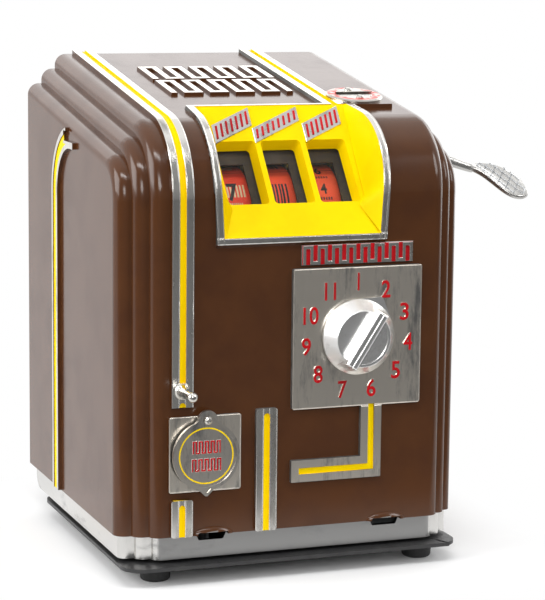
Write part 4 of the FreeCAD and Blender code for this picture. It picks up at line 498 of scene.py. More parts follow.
BROWN = colour_of(78, 46, 24)
FINISHES = {
    "brown": Enamel("brown_enamel", BROWN, colour_of(70, 40, 21)),
    "yellow": Enamel("yellow_enamel", colour_of(245, 212, 0), colour_of(240, 203, 0), 0.38,
                     0.07, 0.12),
    "red": Enamel("red_enamel", colour_of(190, 22, 30), colour_of(150, 14, 22), 0.34, 0.15, 0.2),
    "trim": Polished("polished_trim", (0.80, 0.78, 0.74), (0.40, 0.38, 0.35), 0.45, 0.16, 0.3,
                     (1.0, 1.0, 0.35), 90.0, Edges.STRIPS),
    "pad": Polished("tarnished_pad", (0.86, 0.80, 0.71), (0.22, 0.215, 0.21), 0.5, 0.26, 0.4,
                    (1.0, 1.0, 0.22), 110.0, Edges.PADS),
    "door": Polished("tarnished_door", (0.70, 0.66, 0.60), (0.20, 0.195, 0.19), 0.5, 0.26, 0.4,
                     (1.0, 1.0, 0.4), 110.0),
    # The band's last value paints its front face darker as painted shade.
    "band": Polished("polished_band", (0.68, 0.67, 0.65), (0.22, 0.22, 0.22), 0.25, 0.14, 0.3,
                     (0.4, 0.4, 1.0), 60.0, Edges.NONE, 0.8),
    "bright": Polished("bright_castings", (0.93, 0.93, 0.92), (0.56, 0.55, 0.53), 0.35, 0.26,
                       0.4, (1.0, 1.0, 1.0), 80.0),
    "pale": Polished("pale_metal", (0.90, 0.88, 0.84), (0.66, 0.62, 0.56), 0.3, 0.22, 0.34),
    "grip": Polished("worn_lever", (0.56, 0.55, 0.53), (0.36, 0.36, 0.35), 0.5, 0.3, 0.42),
    "raw": SheetMetal("raw_casting", (0.30, 0.30, 0.29), (0.20, 0.20, 0.19), 0.5, 260.0),
    "zinc": SheetMetal("zinc_plate", (0.50, 0.51, 0.52), (0.36, 0.37, 0.38), 0.3),
    "steel": SheetMetal("bright_steel", (0.58, 0.58, 0.57), (0.42, 0.42, 0.41), 0.22, 400.0),
    "chrome": SheetMetal("nickel_plate", (0.72, 0.70, 0.66), (0.58, 0.56, 0.52), 0.12, 300.0),
    "brass": SheetMetal("turned_brass", (0.62, 0.44, 0.17), (0.40, 0.27, 0.10), 0.25, 300.0),
    "japan": Matt("black_japan", (0.018, 0.018, 0.019), (0.03, 0.03, 0.03), 0.4),
    "rubber": Matt("black_rubber", (0.012, 0.012, 0.012), (0.022, 0.022, 0.022), 0.6, 900.0),
    "dark": Matt("dark_sheet", (0.016, 0.011, 0.008), (0.05, 0.037, 0.026), 0.6, 2600.0),
    "ink": Matt("black_ink", (0.012, 0.011, 0.012), (0.02, 0.018, 0.018), 0.5, 900.0, 0.05),
    "cream": Matt("cream_ink", (0.72, 0.56, 0.34), (0.60, 0.45, 0.26), 0.55, 900.0, 0.05),
    "glass": Glass("window_glass"),
}


class Palette:
    """Makes each finish once, when it is first wanted."""

    def __init__(self) -> None:
        """Start with nothing made."""
        self._made: dict[str, Material] = {}

    def __getitem__(self, name: str) -> Material:
        """Give the material of a finish."""
        if name not in self._made:
            self._made[name] = FINISHES[name].make()
        return self._made[name]

    def add(self, name: str, finish: Finish) -> Material:
        """Make a finish that needs places from the frame."""
        self._made[name] = finish.make()
        return self._made[name]


@dataclass(frozen=True)
class Plane:
    """A flat place on the machine in which ornaments are drawn, in millimetres."""

    origin: Vector
    across: Vector
    along: Vector

    @property
    def out(self) -> Vector:
        """Give the direction out of the surface."""
        return self.across.cross(self.along)

    def at(self, across: float, along: float, height: float = 0.0) -> Vector:
        """Give a place in metres."""
        return (self.origin + self.across * across + self.along * along
                + self.out * height) * MM


TOP_SLOPE = math.radians(9.3)
FACET_LEAN = math.radians(39.4)
CASE_FRONT = -94.0
CASE_BACK = 126.0
CROWN = 312.4
FRONT = Plane(Vector((0.0, CASE_FRONT, 0.0)), Vector((1, 0, 0)), Vector((0, 0, 1)))
TOP = Plane(Vector((0.0, 0.0, CROWN - CASE_BACK * math.tan(TOP_SLOPE))), Vector((1, 0, 0)),
            Vector((0, math.cos(TOP_SLOPE), math.sin(TOP_SLOPE))))
FACET = Plane(Vector((0.0, -97.0, 214.0)), Vector((1, 0, 0)),
              Vector((0, math.sin(FACET_LEAN), math.cos(FACET_LEAN))))


def placed(name: str, data: bpy.types.ID) -> Object:
    """Put a new object with some data into the scene."""
    made = bpy.data.objects.new(name, data)
    bpy.context.scene.collection.objects.link(made)
    return made


def tree_of(mesh: Mesh) -> BVHTree:
    """Give a search tree over a mesh's faces."""
    return BVHTree.FromPolygons([v.co for v in mesh.vertices],
                                [tuple(p.vertices) for p in mesh.polygons])


class Carving:
    """One new mesh piece that is put together from flat outlines and solids."""

    def __init__(self, name: str, materials: Sequence[Material]) -> None:
        """Start an empty piece; its faces take materials by place in the list."""
        self.name = name
        self.materials = list(materials)
        self.mesh = bmesh.new()

    def raise_outline(self, plane: Plane, points: Sequence[Flat], foot: float, height: float,
                      top: int = 0, side: int = 0, bevel: float = 0.0) -> None:
        """Raise a flat outline from a plane.

        Args:
            plane: Plane in which it is drawn.
            points: Outline, against the clock seen from outside, in millimetres.
            foot: Height of its lower side.
            height: Height of its upper side.
            top: Material of the upper side.
            side: Material of the sides.
            bevel: Slanted edge round the upper side.
        """
        inner = shrink(points, bevel) if bevel else list(points)
        rings = [[self.mesh.verts.new(plane.at(a, b, foot)) for a, b in points]]
        if bevel:
            rings.append([self.mesh.verts.new(plane.at(a, b, height - bevel))
                          for a, b in points])
        rings.append([self.mesh.verts.new(plane.at(a, b, height)) for a, b in inner])
        count = len(points)
        for lower, upper in zip(rings, rings[1:]):
            for index in range(count):
                after = (index + 1) % count
                face = self.mesh.faces.new((lower[index], lower[after], upper[after],
                                            upper[index]))
                face.material_index = side
        lid = self.mesh.faces.new(rings[-1])
        lid.material_index = top
        floor = self.mesh.faces.new(list(reversed(rings[0])))
        floor.material_index = side

    def add_mesh(self, mesh: Mesh, move: Callable[[Vector], Vector],
                 material: Callable[[Vector], int]) -> None:
        """Take in another mesh.

        Args:
            mesh: The mesh, used up here.
            move: Puts each of its points in place, in metres.
            material: Gives a face's material from its normal before the move.
        """
        start = len(self.mesh.verts)
        choice = [material(face.normal) for face in mesh.polygons]
        faces_before = len(self.mesh.faces)
        self.mesh.from_mesh(mesh)
        self.mesh.verts.ensure_lookup_table()
        self.mesh.faces.ensure_lookup_table()
        for vertex in self.mesh.verts[start:]:
            vertex.co = move(vertex.co)
        for face, index in zip(self.mesh.faces[faces_before:], choice):
            face.material_index = index
        bpy.data.meshes.remove(mesh)

    def finish(self, body: str, smooth: float = 30.0, slot: str | None = None) -> Object:
        """Close the piece and let it ride on a body.

        Args:
            body: Body that it moves with.
            smooth: Greatest angle that is shaded smooth, in degrees.
            slot: Not used.

        Returns:
            The new object.
        """
        bmesh.ops.recalc_face_normals(self.mesh, faces=self.mesh.faces)
        data = bpy.data.meshes.new(self.name)
        self.mesh.to_mesh(data)
        self.mesh.free()
        for material in self.materials:
            data.materials.append(material)
        piece = placed(self.name, data)
        data.shade_smooth()
        data.set_sharp_from_angle(angle=math.radians(smooth))
        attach(piece, body)
        log.info("piece %s rides on %s", self.name, body)
        return piece


def mitre(one: Vector, two: Vector) -> Vector:
    """Give the corner's offset for sides moved by 1 along two unit normals."""
    middle = one + two
    return middle / max(middle.dot(one), 0.3)


def shrink(points: Sequence[Flat], amount: float) -> list[Flat]:
    """Move each corner of an outline inwards.

    Args:
        points: Outline against the clock.
        amount: Distance between the old and new sides.

    Returns:
        The smaller outline.
    """
    made = []
    count = len(points)
    for index in range(count):
        before = Vector(points[index]) - Vector(points[index - 1])
        after = Vector(points[(index + 1) % count]) - Vector(points[index])
        before.normalize()
        after.normalize()
        middle = mitre(Vector((-before.y, before.x)), Vector((-after.y, after.x)))
        made.append((points[index][0] + middle.x * amount, points[index][1] + middle.y * amount))
    return made


def ribbon(path: Sequence[Flat], width: float) -> list[Flat]:
    """Turn an open path of right angles into the outline of a strip.

    Args:
        path: Corners of the strip's middle.
        width: Its width.

    Returns:
        The outline against the clock.
    """
    sides: list[list[Flat]] = [[], []]
    for index, point in enumerate(path):
        here = Vector(point)
        before = (here - Vector(path[index - 1])).normalized() if index else None
        after = (Vector(path[index + 1]) - here).normalized() if index + 1 < len(path) else None
        first = before or after
        second = after or before
        for side, sign in zip(sides, (1.0, -1.0)):
            middle = mitre(Vector((first.y, -first.x)) * sign,
                           Vector((second.y, -second.x)) * sign)
            side.append((here.x + middle.x * width / 2, here.y + middle.y * width / 2))
    return sides[0] + list(reversed(sides[1]))


def fret(left: float, right: float, low: float, high: float, turns: int,
         width: float) -> list[Flat]:
    """Draw a square wave ribbon, the plain ornament used where words were.

    Args:
        left: Its left end.
        right: Its right end.
        low: Its lower edge.
        high: Its upper edge.
        turns: Number of full waves.
        width: Width of the ribbon.

    Returns:
        The outline against the clock.
    """
    pitch = (right - left - width) / (2 * turns - 1)
    path = []
    for index in range(2 * turns):
        across = left + width / 2 + index * pitch
        ends = (low + width / 2, high - width / 2)
        first, second = ends if index % 2 == 0 else reversed(ends)
        path += [(across, first), (across, second)]
    path[0] = (path[0][0], low)
    path[-1] = (path[-1][0], low)
    return ribbon(path, width)


def figures(text: str, width: float, height: float, depth: float, weight: float = 0.0,
            bevel: float = 0.0) -> Mesh:
    """Make raised figures, centred, flat on the xy plane, in millimetres.

    Args:
        text: Plain figures.
        width: Width over them.
        height: Height over them.
        depth: How far they stand up.
        weight: Extra thickness of their strokes, as a share of the size.
        bevel: Round of their edges.

    Returns:
        The mesh.
    """
    curve = bpy.data.curves.new("figures", "FONT")
    curve.body = text
    curve.offset = weight
    curve.extrude = 0.05
    curve.bevel_depth = bevel / height
    curve.bevel_resolution = 1
    curve.resolution_u = 5
    holder = placed("figures", curve)
    bpy.context.view_layer.update()
    graph = bpy.context.evaluated_depsgraph_get()
    mesh = bpy.data.meshes.new_from_object(holder.evaluated_get(graph))
    bpy.data.objects.remove(holder)
    bpy.data.curves.remove(curve)
    corners = [vertex.co.copy() for vertex in mesh.vertices]
    low = Vector(min(c[k] for c in corners) for k in range(3))
    high = Vector(max(c[k] for c in corners) for k in range(3))
    for vertex in mesh.vertices:
        vertex.co = Vector(((vertex.co.x - (low.x + high.x) / 2) / (high.x - low.x) * width,
                            (vertex.co.y - (low.y + high.y) / 2) / (high.y - low.y) * height,
                            (vertex.co.z - low.z) / (high.z - low.z) * depth))
    return mesh


def stand_in(node: Object, name: str, piece_name: str, move: Callable[[Vector], Vector]) -> Object:
    """Make a piece that stands for a node of the machine, with its points moved.

    Args:
        node: The node.
        name: The node's name.
        piece_name: Name of the piece.
        move: Gives a point's new place, in millimetres.

    Returns:
        The piece.
    """
    data = node.data.copy()
    for vertex in data.vertices:
        vertex.co = move(vertex.co / MM) * MM
    piece = placed(piece_name, data)
    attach(piece, "machine")
    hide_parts(name)
    return piece


def paint(node: Object, *materials: Material) -> None:
    """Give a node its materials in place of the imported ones."""
    node.data.materials.clear()
    for material in materials:
        node.data.materials.append(material)


@dataclass
class CaseDress:
    """The case: which of its faces are painted brown or yellow and which are polished."""

    nose_radius: float = 46.0
    trim_relief: float = 2.5
    pad_relief: float = 3.0
    groove_depth: float = 1.2
    facet_half: float = 60.0
    facet_length: float = 95.7
    facet_margin: float = 6.0
    recess: tuple[float, float, float, float] = (8.2, 18.0, 73.0, 46.0)
    gum_plate: tuple[float, float, float] = (-39.0, 58.0, 105.5)
    long_grooves: tuple[float, ...] = STRIP_MIDDLES[:2]
    elbow_grooves: tuple[float, ...] = (43.1, 46.4)
    groove_reach: float = 2.6
    elbow: tuple[float, float, float, float] = (60.0, 72.5, -8.0, 50.0)
    groove_half: float = 90.0
    window_pitch: float = 30.0
    window_edge: float = 9.5
    side_face: float = 117.2
    side_groove_face: float = 116.6
    coin_pad: tuple[float, float, float] = (50.5, -42.0, 8.0)
    rim_span: tuple[float, float] = (47.5, 56.5)
    rim_lean: float = 0.2
    flutes_from: float = 98.0
    flutes_less: float = 0.32
    plate_less: float = 4.5
    rim_trim: float = 1.0
    sill_drop: float = 1.8
    # How far the dark sheet's openings are brought in over the reels; where it now covers their
    # shaded edges it is painted shade.
    mask_side: float = 3.2
    mask_top: float = 7.4
    lining_fold: tuple[Flat, ...] = ((50.9, -1.5), (41.5, 19.8), (46.4, 27.0), (47.2, 60.0),
                                     (48.6, 95.0))

    def height(self, place: Vector) -> tuple[float, Vector]:
        """Measure how far a place stands over the plain front, nose or top.

        Args:
            place: Place in millimetres.

        Returns:
            The height and the direction out of the plain surface there.
        """
        nose_y = CASE_FRONT + self.nose_radius
        nose_z = CROWN - (CASE_BACK - nose_y) * math.tan(TOP_SLOPE) \
            - self.nose_radius / math.cos(TOP_SLOPE)
        if place.z < nose_z:
            return CASE_FRONT - place.y, Vector((0, -1, 0))
        reach = Vector((0, place.y - nose_y, place.z - nose_z))
        top_out = TOP.out
        if reach.y < 0 and reach.z / max(-reach.y, 1e-6) < top_out.z / -top_out.y:
            return reach.length - self.nose_radius, reach.normalized()
        top_z = CROWN - (CASE_BACK - place.y) * math.tan(TOP_SLOPE)
        return (place.z - top_z) * math.cos(TOP_SLOPE), top_out

    def facet_depth(self, place: Vector) -> tuple[float, float]:
        """Give how far up the reel window face a place is, and how far behind it."""
        reach = place - FACET.origin
        return reach.dot(FACET.along), -reach.dot(FACET.out)

    def choose(self, place: Vector, normal: Vector, inside: bool) -> str:
        """Choose a face's finish.

        Args:
            place: Middle of the face in millimetres.
            normal: Its direction.
            inside: Whether it looks into the case.

        Returns:
            Name of the finish.
        """
        height, out = self.height(place)
        up, depth = self.facet_depth(place)
        facing = normal.dot(out)
        margin = self.facet_margin
        if abs(place.x) < self.facet_half and -margin < up < self.facet_length + margin:
            facet_facing = normal.dot(FACET.out)
            inwards = normal.x * place.x < -0.2 * abs(place.x) or facet_facing > 0.3
            if depth < -0.05 and height < self.trim_relief - 0.1 and facing < 0.97 and inwards:
                return "yellow"
            if -0.05 < depth < 1.2 and facet_facing > 0.9:
                return "yellow"
            deep, low, high, half = self.recess
            if 0 < depth < deep and low < up < high and abs(place.x) < half \
                    and facet_facing > 0.05:
                return "yellow"
        wide = max(-place.x, self.flutes_from + (place.x - self.flutes_from)
                   / (1.0 - self.flutes_less))
        if wide > self.side_groove_face - 2.0:
            if abs(normal.x) > 0.9:
                if wide > self.side_face - 0.2:
                    return "trim"
                if abs(wide - self.side_groove_face) < 0.2:
                    return "yellow"
        if inside:
            return "raw"
        right, front, back = self.coin_pad
        if place.x > right and front < place.y < back and height > 1.0 and place.z > 250:
            return "brown"
        if facing > 0.9:
            if height > self.pad_relief - 0.15:
                return "pad"
            if height > self.trim_relief - 0.15:
                edge, low, high = self.gum_plate
                return "pad" if place.x < edge and low < place.z < high else "trim"
        if self.trim_relief - self.groove_depth - 0.1 < height < self.trim_relief - 0.02 \
                and abs(place.x) < self.groove_half:
            grooves = self.long_grooves
            if place.z >= self.gum_plate[1]:
                grooves = grooves + self.elbow_grooves
            beside = min(abs(place.x - middle) for middle in grooves)
            low, high, left, right = self.elbow
            if beside < self.groove_reach \
                    or (low < place.z < high and left < place.x < right):
                return "yellow"
        return "brown"

    def narrowed(self, place: Vector) -> Vector:
        """Bring the right flutes in to where the photograph shows them."""
        beyond = max(place.x - self.flutes_from, 0.0)
        return Vector((place.x - beyond * self.flutes_less, place.y, place.z))

    def framed(self, place: Vector) -> Vector:
        """Lean the window frame's sides out over the nose and lower its sill."""
        up, depth = self.facet_depth(place)
        inner, outer = self.rim_span
        moved = place.copy()
        if depth < 0 and -5 < up < self.facet_length + 3 and inner < abs(place.x) < outer \
                and self.height(place)[0] > -0.3:
            outwards = -depth * self.rim_lean - (self.rim_trim if abs(place.x) > 54.2 else 0.0)
            moved.x += math.copysign(outwards, place.x)
        if abs(place.y + 96.5) < 0.05 and abs(place.z - 214.6) < 0.15 and abs(place.x) < 52:
            moved.z -= self.sill_drop
        return moved

    def casting(self, node: Object) -> Object:
        """Make the case's own piece, in the form that the photograph shows."""
        return stand_in(node, "case_shell", "case_casting",
                        lambda place: self.narrowed(self.framed(place)))

    def foundation(self, nodes: dict[str, Object]) -> None:
        """Make the pieces of the band and the plate, brought in on the right as the case is."""
        stand_in(nodes["base_casting"], "base_casting", "band_casting", self.narrowed)
        stand_in(nodes["base_plate"], "base_plate", "bottom_plate", lambda place: Vector(
            (place.x - (self.plate_less if place.x > 102.5 else 0.0), place.y, place.z)))

    def skin(self, share: float) -> Vector:
        """Give a place on the frame's front edge, from the sill (0) over the nose (1).

        Args:
            share: How far up it is.

        Returns:
            The place at x 0, in millimetres.
        """
        relief = self.trim_relief - 0.05
        low, high = -1.5, self.facet_length - 0.2
        up = low + (high - low) * share
        foot = FACET.origin + FACET.along * up
        near, far = 0.0, 40.0
        for _ in range(30):
            middle = (near + far) / 2
            if self.height(foot + FACET.out * middle)[0] < relief:
                near = middle
            else:
                far = middle
        return foot + FACET.out * near

    def lining(self, palette: Palette) -> None:
        """Line both sides of the window frame: from a fold in the face out to the rim."""
        piece = Carving("window_frame_lining", [palette["yellow"]])
        count = 40
        for sign in (1.0, -1.0):
            rows = []
            for index in range(count + 1):
                edge = self.skin(index / count)
                up, depth = self.facet_depth(edge)
                half = RIM_HALVES[0] - 0.05 - depth * RIM_FLARE
                ups = [spot[1] for spot in self.lining_fold]
                slot = max(k for k in range(len(ups) - 1) if ups[k] <= max(up, ups[0]))
                (x0, u0), (x1, u1) = self.lining_fold[slot:slot + 2]
                fold = x0 + (x1 - x0) * min(max((up - u0) / (u1 - u0), 0.0), 1.0)
                inner = FACET.at(sign * fold, up, 0.03)
                rows.append((piece.mesh.verts.new(inner),
                             piece.mesh.verts.new(Vector((sign * half, edge.y, edge.z)) * MM)))
            for first, second in zip(rows, rows[1:]):
                piece.mesh.faces.new((first[0], first[1], second[1], second[0]))
        piece.finish("machine", 40.0)

    def opened(self, place: Vector) -> Vector:
        """Bring the dark sheet's openings in to where the photograph shows them."""
        moved = place.copy()
        half = self.window_pitch / 2
        beside = (place.x + half) % self.window_pitch - half
        # The sheet is real, but its openings are brought in over the reels' shaded upper and right
        # edges: painted shade.
        if abs(place.x) < 3 * half and abs(abs(beside) - self.window_edge) < 0.3:
            if beside > 0:
                moved.x -= self.mask_side
            if self.facet_depth(place)[0] > 60:
                moved -= FACET.along * self.mask_top
        return moved

    def dress(self, shell: Object, palette: Palette) -> None:
        """Give each face of the case its finish."""
        names = ["brown", "yellow", "trim", "pad", "raw"]
        paint(shell, *[palette[name] for name in names])
        data = shell.data
        tree = tree_of(data)
        for face in data.polygons:
            start = face.center + face.normal * 0.05 * MM
            _, _, _, far = tree.ray_cast(start, face.normal)
            inside = far is not None and far > 9 * MM
            face.material_index = names.index(self.choose(face.center / MM, face.normal, inside))
        log.info("case dressed, %d faces", len(data.polygons))


@dataclass
class Ornaments:
    """Raised plain ornaments in the places of words, and the selector's numbers."""

    top_rows: tuple[tuple[float, float, float, float], ...] = (
        (-53.0, 31.7, 40.2, 78.5), (-53.0, 30.0, 1.2, 39.3))
    top_height: float = 1.8
    title: tuple[float, float, float, float] = (-0.9, 73.2, 194.5, 207.1)
    tags: tuple[tuple[float, float], ...] = ((-43.0, -16.2), (-16.6, 16.0), (17.2, 43.7))
    tag_low: float = 67.0
    tag_high: float = 94.0
    dial: tuple[float, float] = (36.2, 149.1)
    dial_ring: float = 34.3
    dial_face: float = 3.0
    figure_height: float = 11.0
    figure_width: float = 6.0
    steps: int = 11

    def top_bands(self, palette: Palette) -> None:
        """Raise two plain fret bands on the top."""
        piece = Carving("top_fret_bands", [palette["pale"], palette["brown"]])
        for left, right, near, far in self.top_rows:
            near, far = near / math.cos(TOP_SLOPE), far / math.cos(TOP_SLOPE)
            piece.raise_outline(TOP, fret(left, right, near + 1.5, far - 1.5, 5, 4.4), -0.2,
                                self.top_height, 0, 1, 0.3)
        piece.finish("machine")

    def title_plate(self, palette: Palette) -> None:
        """Raise the plate over the selector with its plain fret."""
        left, right, low, high = self.title
        piece = Carving("selector_title_plate", [palette["red"], palette["trim"]])
        piece.raise_outline(FRONT, [(left, low), (right, low), (right, high), (left, high)],
                            -0.2, 2.2, 0, 1, 0.3)
        piece.raise_outline(FRONT, fret(left + 0.6, right - 0.6, low + 0.4, high - 0.4, 8, 2.1),
                            2.0, 3.2, 1, 1, 0.25)
        piece.finish("machine")

    def window_tags(self, palette: Palette) -> None:
        """Raise the three slanted tags over the windows."""
        piece = Carving("window_tags", [palette["trim"], palette["red"]])
        for left, right in self.tags:
            rise = 16.0 * (right - left) / 32.6
            low, high = self.tag_low, self.tag_high - rise
            outline = [(left, low), (right, low + rise), (right, high + rise), (left, high)]
            piece.raise_outline(FACET, outline, -0.2, 1.0, 0, 0, 0.2)
            count = round((right - left) / 4.0)
            for index in range(count):
                across = left + 2.6 + (right - left - 5.2) * index / (count - 1)
                foot = low + rise * (across - left) / (right - left) + 2.2
                head = foot + (high - low) - 4.4
                piece.raise_outline(FACET, [(across - 0.9, foot), (across + 0.3, foot),
                                            (across + 0.9, head), (across - 0.3, head)],
                                    0.8, 1.7, 1, 1, 0.15)
        piece.finish("machine")

    def numbers(self, palette: Palette) -> None:
        """Raise the numbers round the selector."""
        piece = Carving("selector_numbers", [palette["red"], palette["trim"]])
        for number in range(1, self.steps + 1):
            turn = math.radians(360 / self.steps * (number - 1))
            middle_x = self.dial[0] + self.dial_ring * math.sin(turn)
            middle_z = self.dial[1] + self.dial_ring * math.cos(turn)
            text = str(number)
            width = {1: 1.5, 10: 10.0, 11: 7.4}.get(number, self.figure_width)
            mesh = figures(text, width, self.figure_height, 1.0, -0.012, 0.3)

            def move(point: Vector, across: float = middle_x, along: float = middle_z) -> Vector:
                """Put a point of a number on the pad."""
                return FRONT.at(across + point.x, along + point.y,
                                self.dial_face - 0.1 + point.z)
            piece.add_mesh(mesh, move, lambda normal: 0 if normal.z > 0.6 else 1)
        piece.finish("machine")


@dataclass
class GumDoorDress:
    """The gum door's painted ring and plain ornament."""

    centre: tuple[float, float] = (-63.2, 81.2)
    face: float = 2.5 + 2.6 + 1.8
    ring_outer: float = 17.6
    ring_inner: float = 16.6

    def dress(self, palette: Palette) -> None:
        """Make the ring and the ornament."""
        x, z = self.centre
        piece = Carving("gum_door_ring", [palette["yellow"], palette["red"], palette["trim"]])
        count = 72
        rings = []
        for radius, height in ((self.ring_outer, -0.1), (self.ring_outer - 0.15, 0.16),
                               (self.ring_inner + 0.15, 0.16), (self.ring_inner, -0.1)):
            rings.append([piece.mesh.verts.new(FRONT.at(
                x + radius * math.cos(2 * math.pi * k / count),
                z + radius * math.sin(2 * math.pi * k / count), self.face + height))
                for k in range(count)])
        rings.append(rings[0])
        for outer, inner in zip(rings, rings[1:]):
            for k in range(count):
                after = (k + 1) % count
                piece.mesh.faces.new((outer[k], outer[after], inner[after], inner[k]))
        for low, high, half, turns in ((1.4, 9.6, 9.2, 5), (-9.6, -1.4, 9.6, 5)):
            piece.raise_outline(FRONT, fret(x - half, x + half, z + low, z + high, turns, 1.3),
                                self.face - 0.1, self.face + 0.55, 1, 2, 0.2)
        piece.finish("gum_door_body")


@dataclass
class ReelDress:
    """Plain printing on the three reels."""

    axis_y: float = -30.8064
    axis_z: float = 218.9628
    radius: float = 30.0
    pitch: float = 30.0
    fields: int = 12
    first_turn: float = 145.0

    def wrap(self, middle: float, turn: float, lift: float) -> Callable[[Vector], Vector]:
        """Give the move that lays a flat mesh round a reel.

        Args:
            middle: The reel's middle along x.
            turn: Angle of the field's middle, up from straight back, in degrees.
            lift: Height of the print over the paper.

        Returns:
            A function from a flat point in millimetres to its place in metres.
        """
        def move(point: Vector) -> Vector:
            """Lay one point round the reel."""
            angle = math.radians(turn) - point.y / self.radius
            reach = self.radius + lift + point.z
            return Vector((middle + point.x, self.axis_y + reach * math.cos(angle),
                           self.axis_z + reach * math.sin(angle))) * MM
        return move

    @staticmethod
    def bars(count: int, width: float, height: float) -> Mesh:
        """Make flat upright bars, cut into rows so that they bend."""
        made = bmesh.new()
        rows = 6
        for index in range(count):
            left = -width / 2 + width * index / count
            right = left + width / count * 0.55
            for row in range(rows):
                low = -height / 2 + height * row / rows
                high = low + height / rows
                made.faces.new([made.verts.new((x, y, 0.04)) for x, y in (
                    (left, low), (right, low), (right, high), (left, high))])
        bmesh.ops.remove_doubles(made, verts=made.verts, dist=1e-5)
        mesh = bpy.data.meshes.new("bars")
        made.to_mesh(mesh)
        made.free()
        return mesh

    @staticmethod
    def sliced(mesh: Mesh, step: float = 1.5) -> Mesh:
        """Cut a flat mesh into rows so that it bends."""
        made = bmesh.new()
        made.from_mesh(mesh)
        low = min(vertex.co.y for vertex in made.verts)
        high = max(vertex.co.y for vertex in made.verts)
        level = low + step
        while level < high:
            bmesh.ops.bisect_plane(made, geom=made.verts[:] + made.edges[:] + made.faces[:],
                                   plane_co=(0, level, 0), plane_no=(0, 1, 0), dist=1e-6)
            level += step
        made.to_mesh(mesh)
        made.free()
        return mesh

    def figure(self, number: int, height: float) -> Mesh:
        """Make one printed figure."""
        width = height * (1.0 if number > 9 else 0.56)
        return self.sliced(figures(str(number), width, height, 0.08, 0.03))

    def small_field(self, piece: Carving, middle: float, turn: float, number: int) -> None:
        """Print a small figure with a row of strokes under it."""
        piece.add_mesh(self.figure(number, 7.4), self.wrap(middle - 0.8, turn - 1.0, 0.0),
                       lambda normal: 0)
        piece.add_mesh(self.bars(5, 8.5, 1.8), self.wrap(middle + 0.4, turn + 12.0, 0.0),
                       lambda normal: 0)

    def big_field(self, piece: Carving, middle: float, turn: float, number: int) -> None:
        """Print a big figure over a row of pale strokes."""
        for shift, width, height in ((-1.0, 15.0, 8.6), (17.0, 9.0, 3.0)):
            piece.add_mesh(self.bars(7, width, height), self.wrap(middle, turn + shift, -0.03),
                           lambda normal: 1)
        piece.add_mesh(self.figure(number, 12.5), self.wrap(middle - 1.5, turn, 0.0),
                       lambda normal: 0)

    def dress(self, nodes: dict[str, Object], palette: Palette) -> None:
        """Print the reels."""
        # Reel 1's ground is painted darker red as painted shade; the grounds grow paler towards
        # the right.
        grounds_with_painted_shade = (colour_of(236, 66, 38), colour_of(250, 84, 44), colour_of(252, 92, 50))
        big_numbers = (7, 3, 9, 5, 11, 2)
        small_numbers = (4, 6, 2, 8, 4, 5, 3, 9, 2, 7, 5, 3)
        for index in (1, 2, 3):
            middle = self.pitch * (index - 2)
            paper = ReelPaper("reel_paper_%d" % index, grounds_with_painted_shade[index - 1],
                              colour_of(90, 24, 16), self.axis_y, self.axis_z,
                              self.fields // 2, 113.5)
            paint(nodes["reel_%d_strip" % index], palette.add("paper%d" % index, paper))
            piece = Carving("reel_%d_print" % index, [palette["ink"], palette["cream"]])
            for step in range(self.fields):
                turn = self.first_turn - 360.0 / self.fields * step
                if index == 3:
                    self.small_field(piece, middle, turn, small_numbers[step])
                elif step % 2 == 0 and index == 2:
                    for across, width in ((-6.2, 2.6), (-3.9, 2.0), (-1.8, 2.4), (0.4, 2.0),
                                          (2.4, 2.6), (4.8, 2.3)):
                        piece.add_mesh(self.bars(1, width, 15.0),
                                       self.wrap(middle + across, turn + 5.0, 0.02),
                                       lambda normal: 0)
                elif step % 2 == 0:
                    self.big_field(piece, middle, turn, big_numbers[step // 2])
            piece.finish("reel_%d" % index)


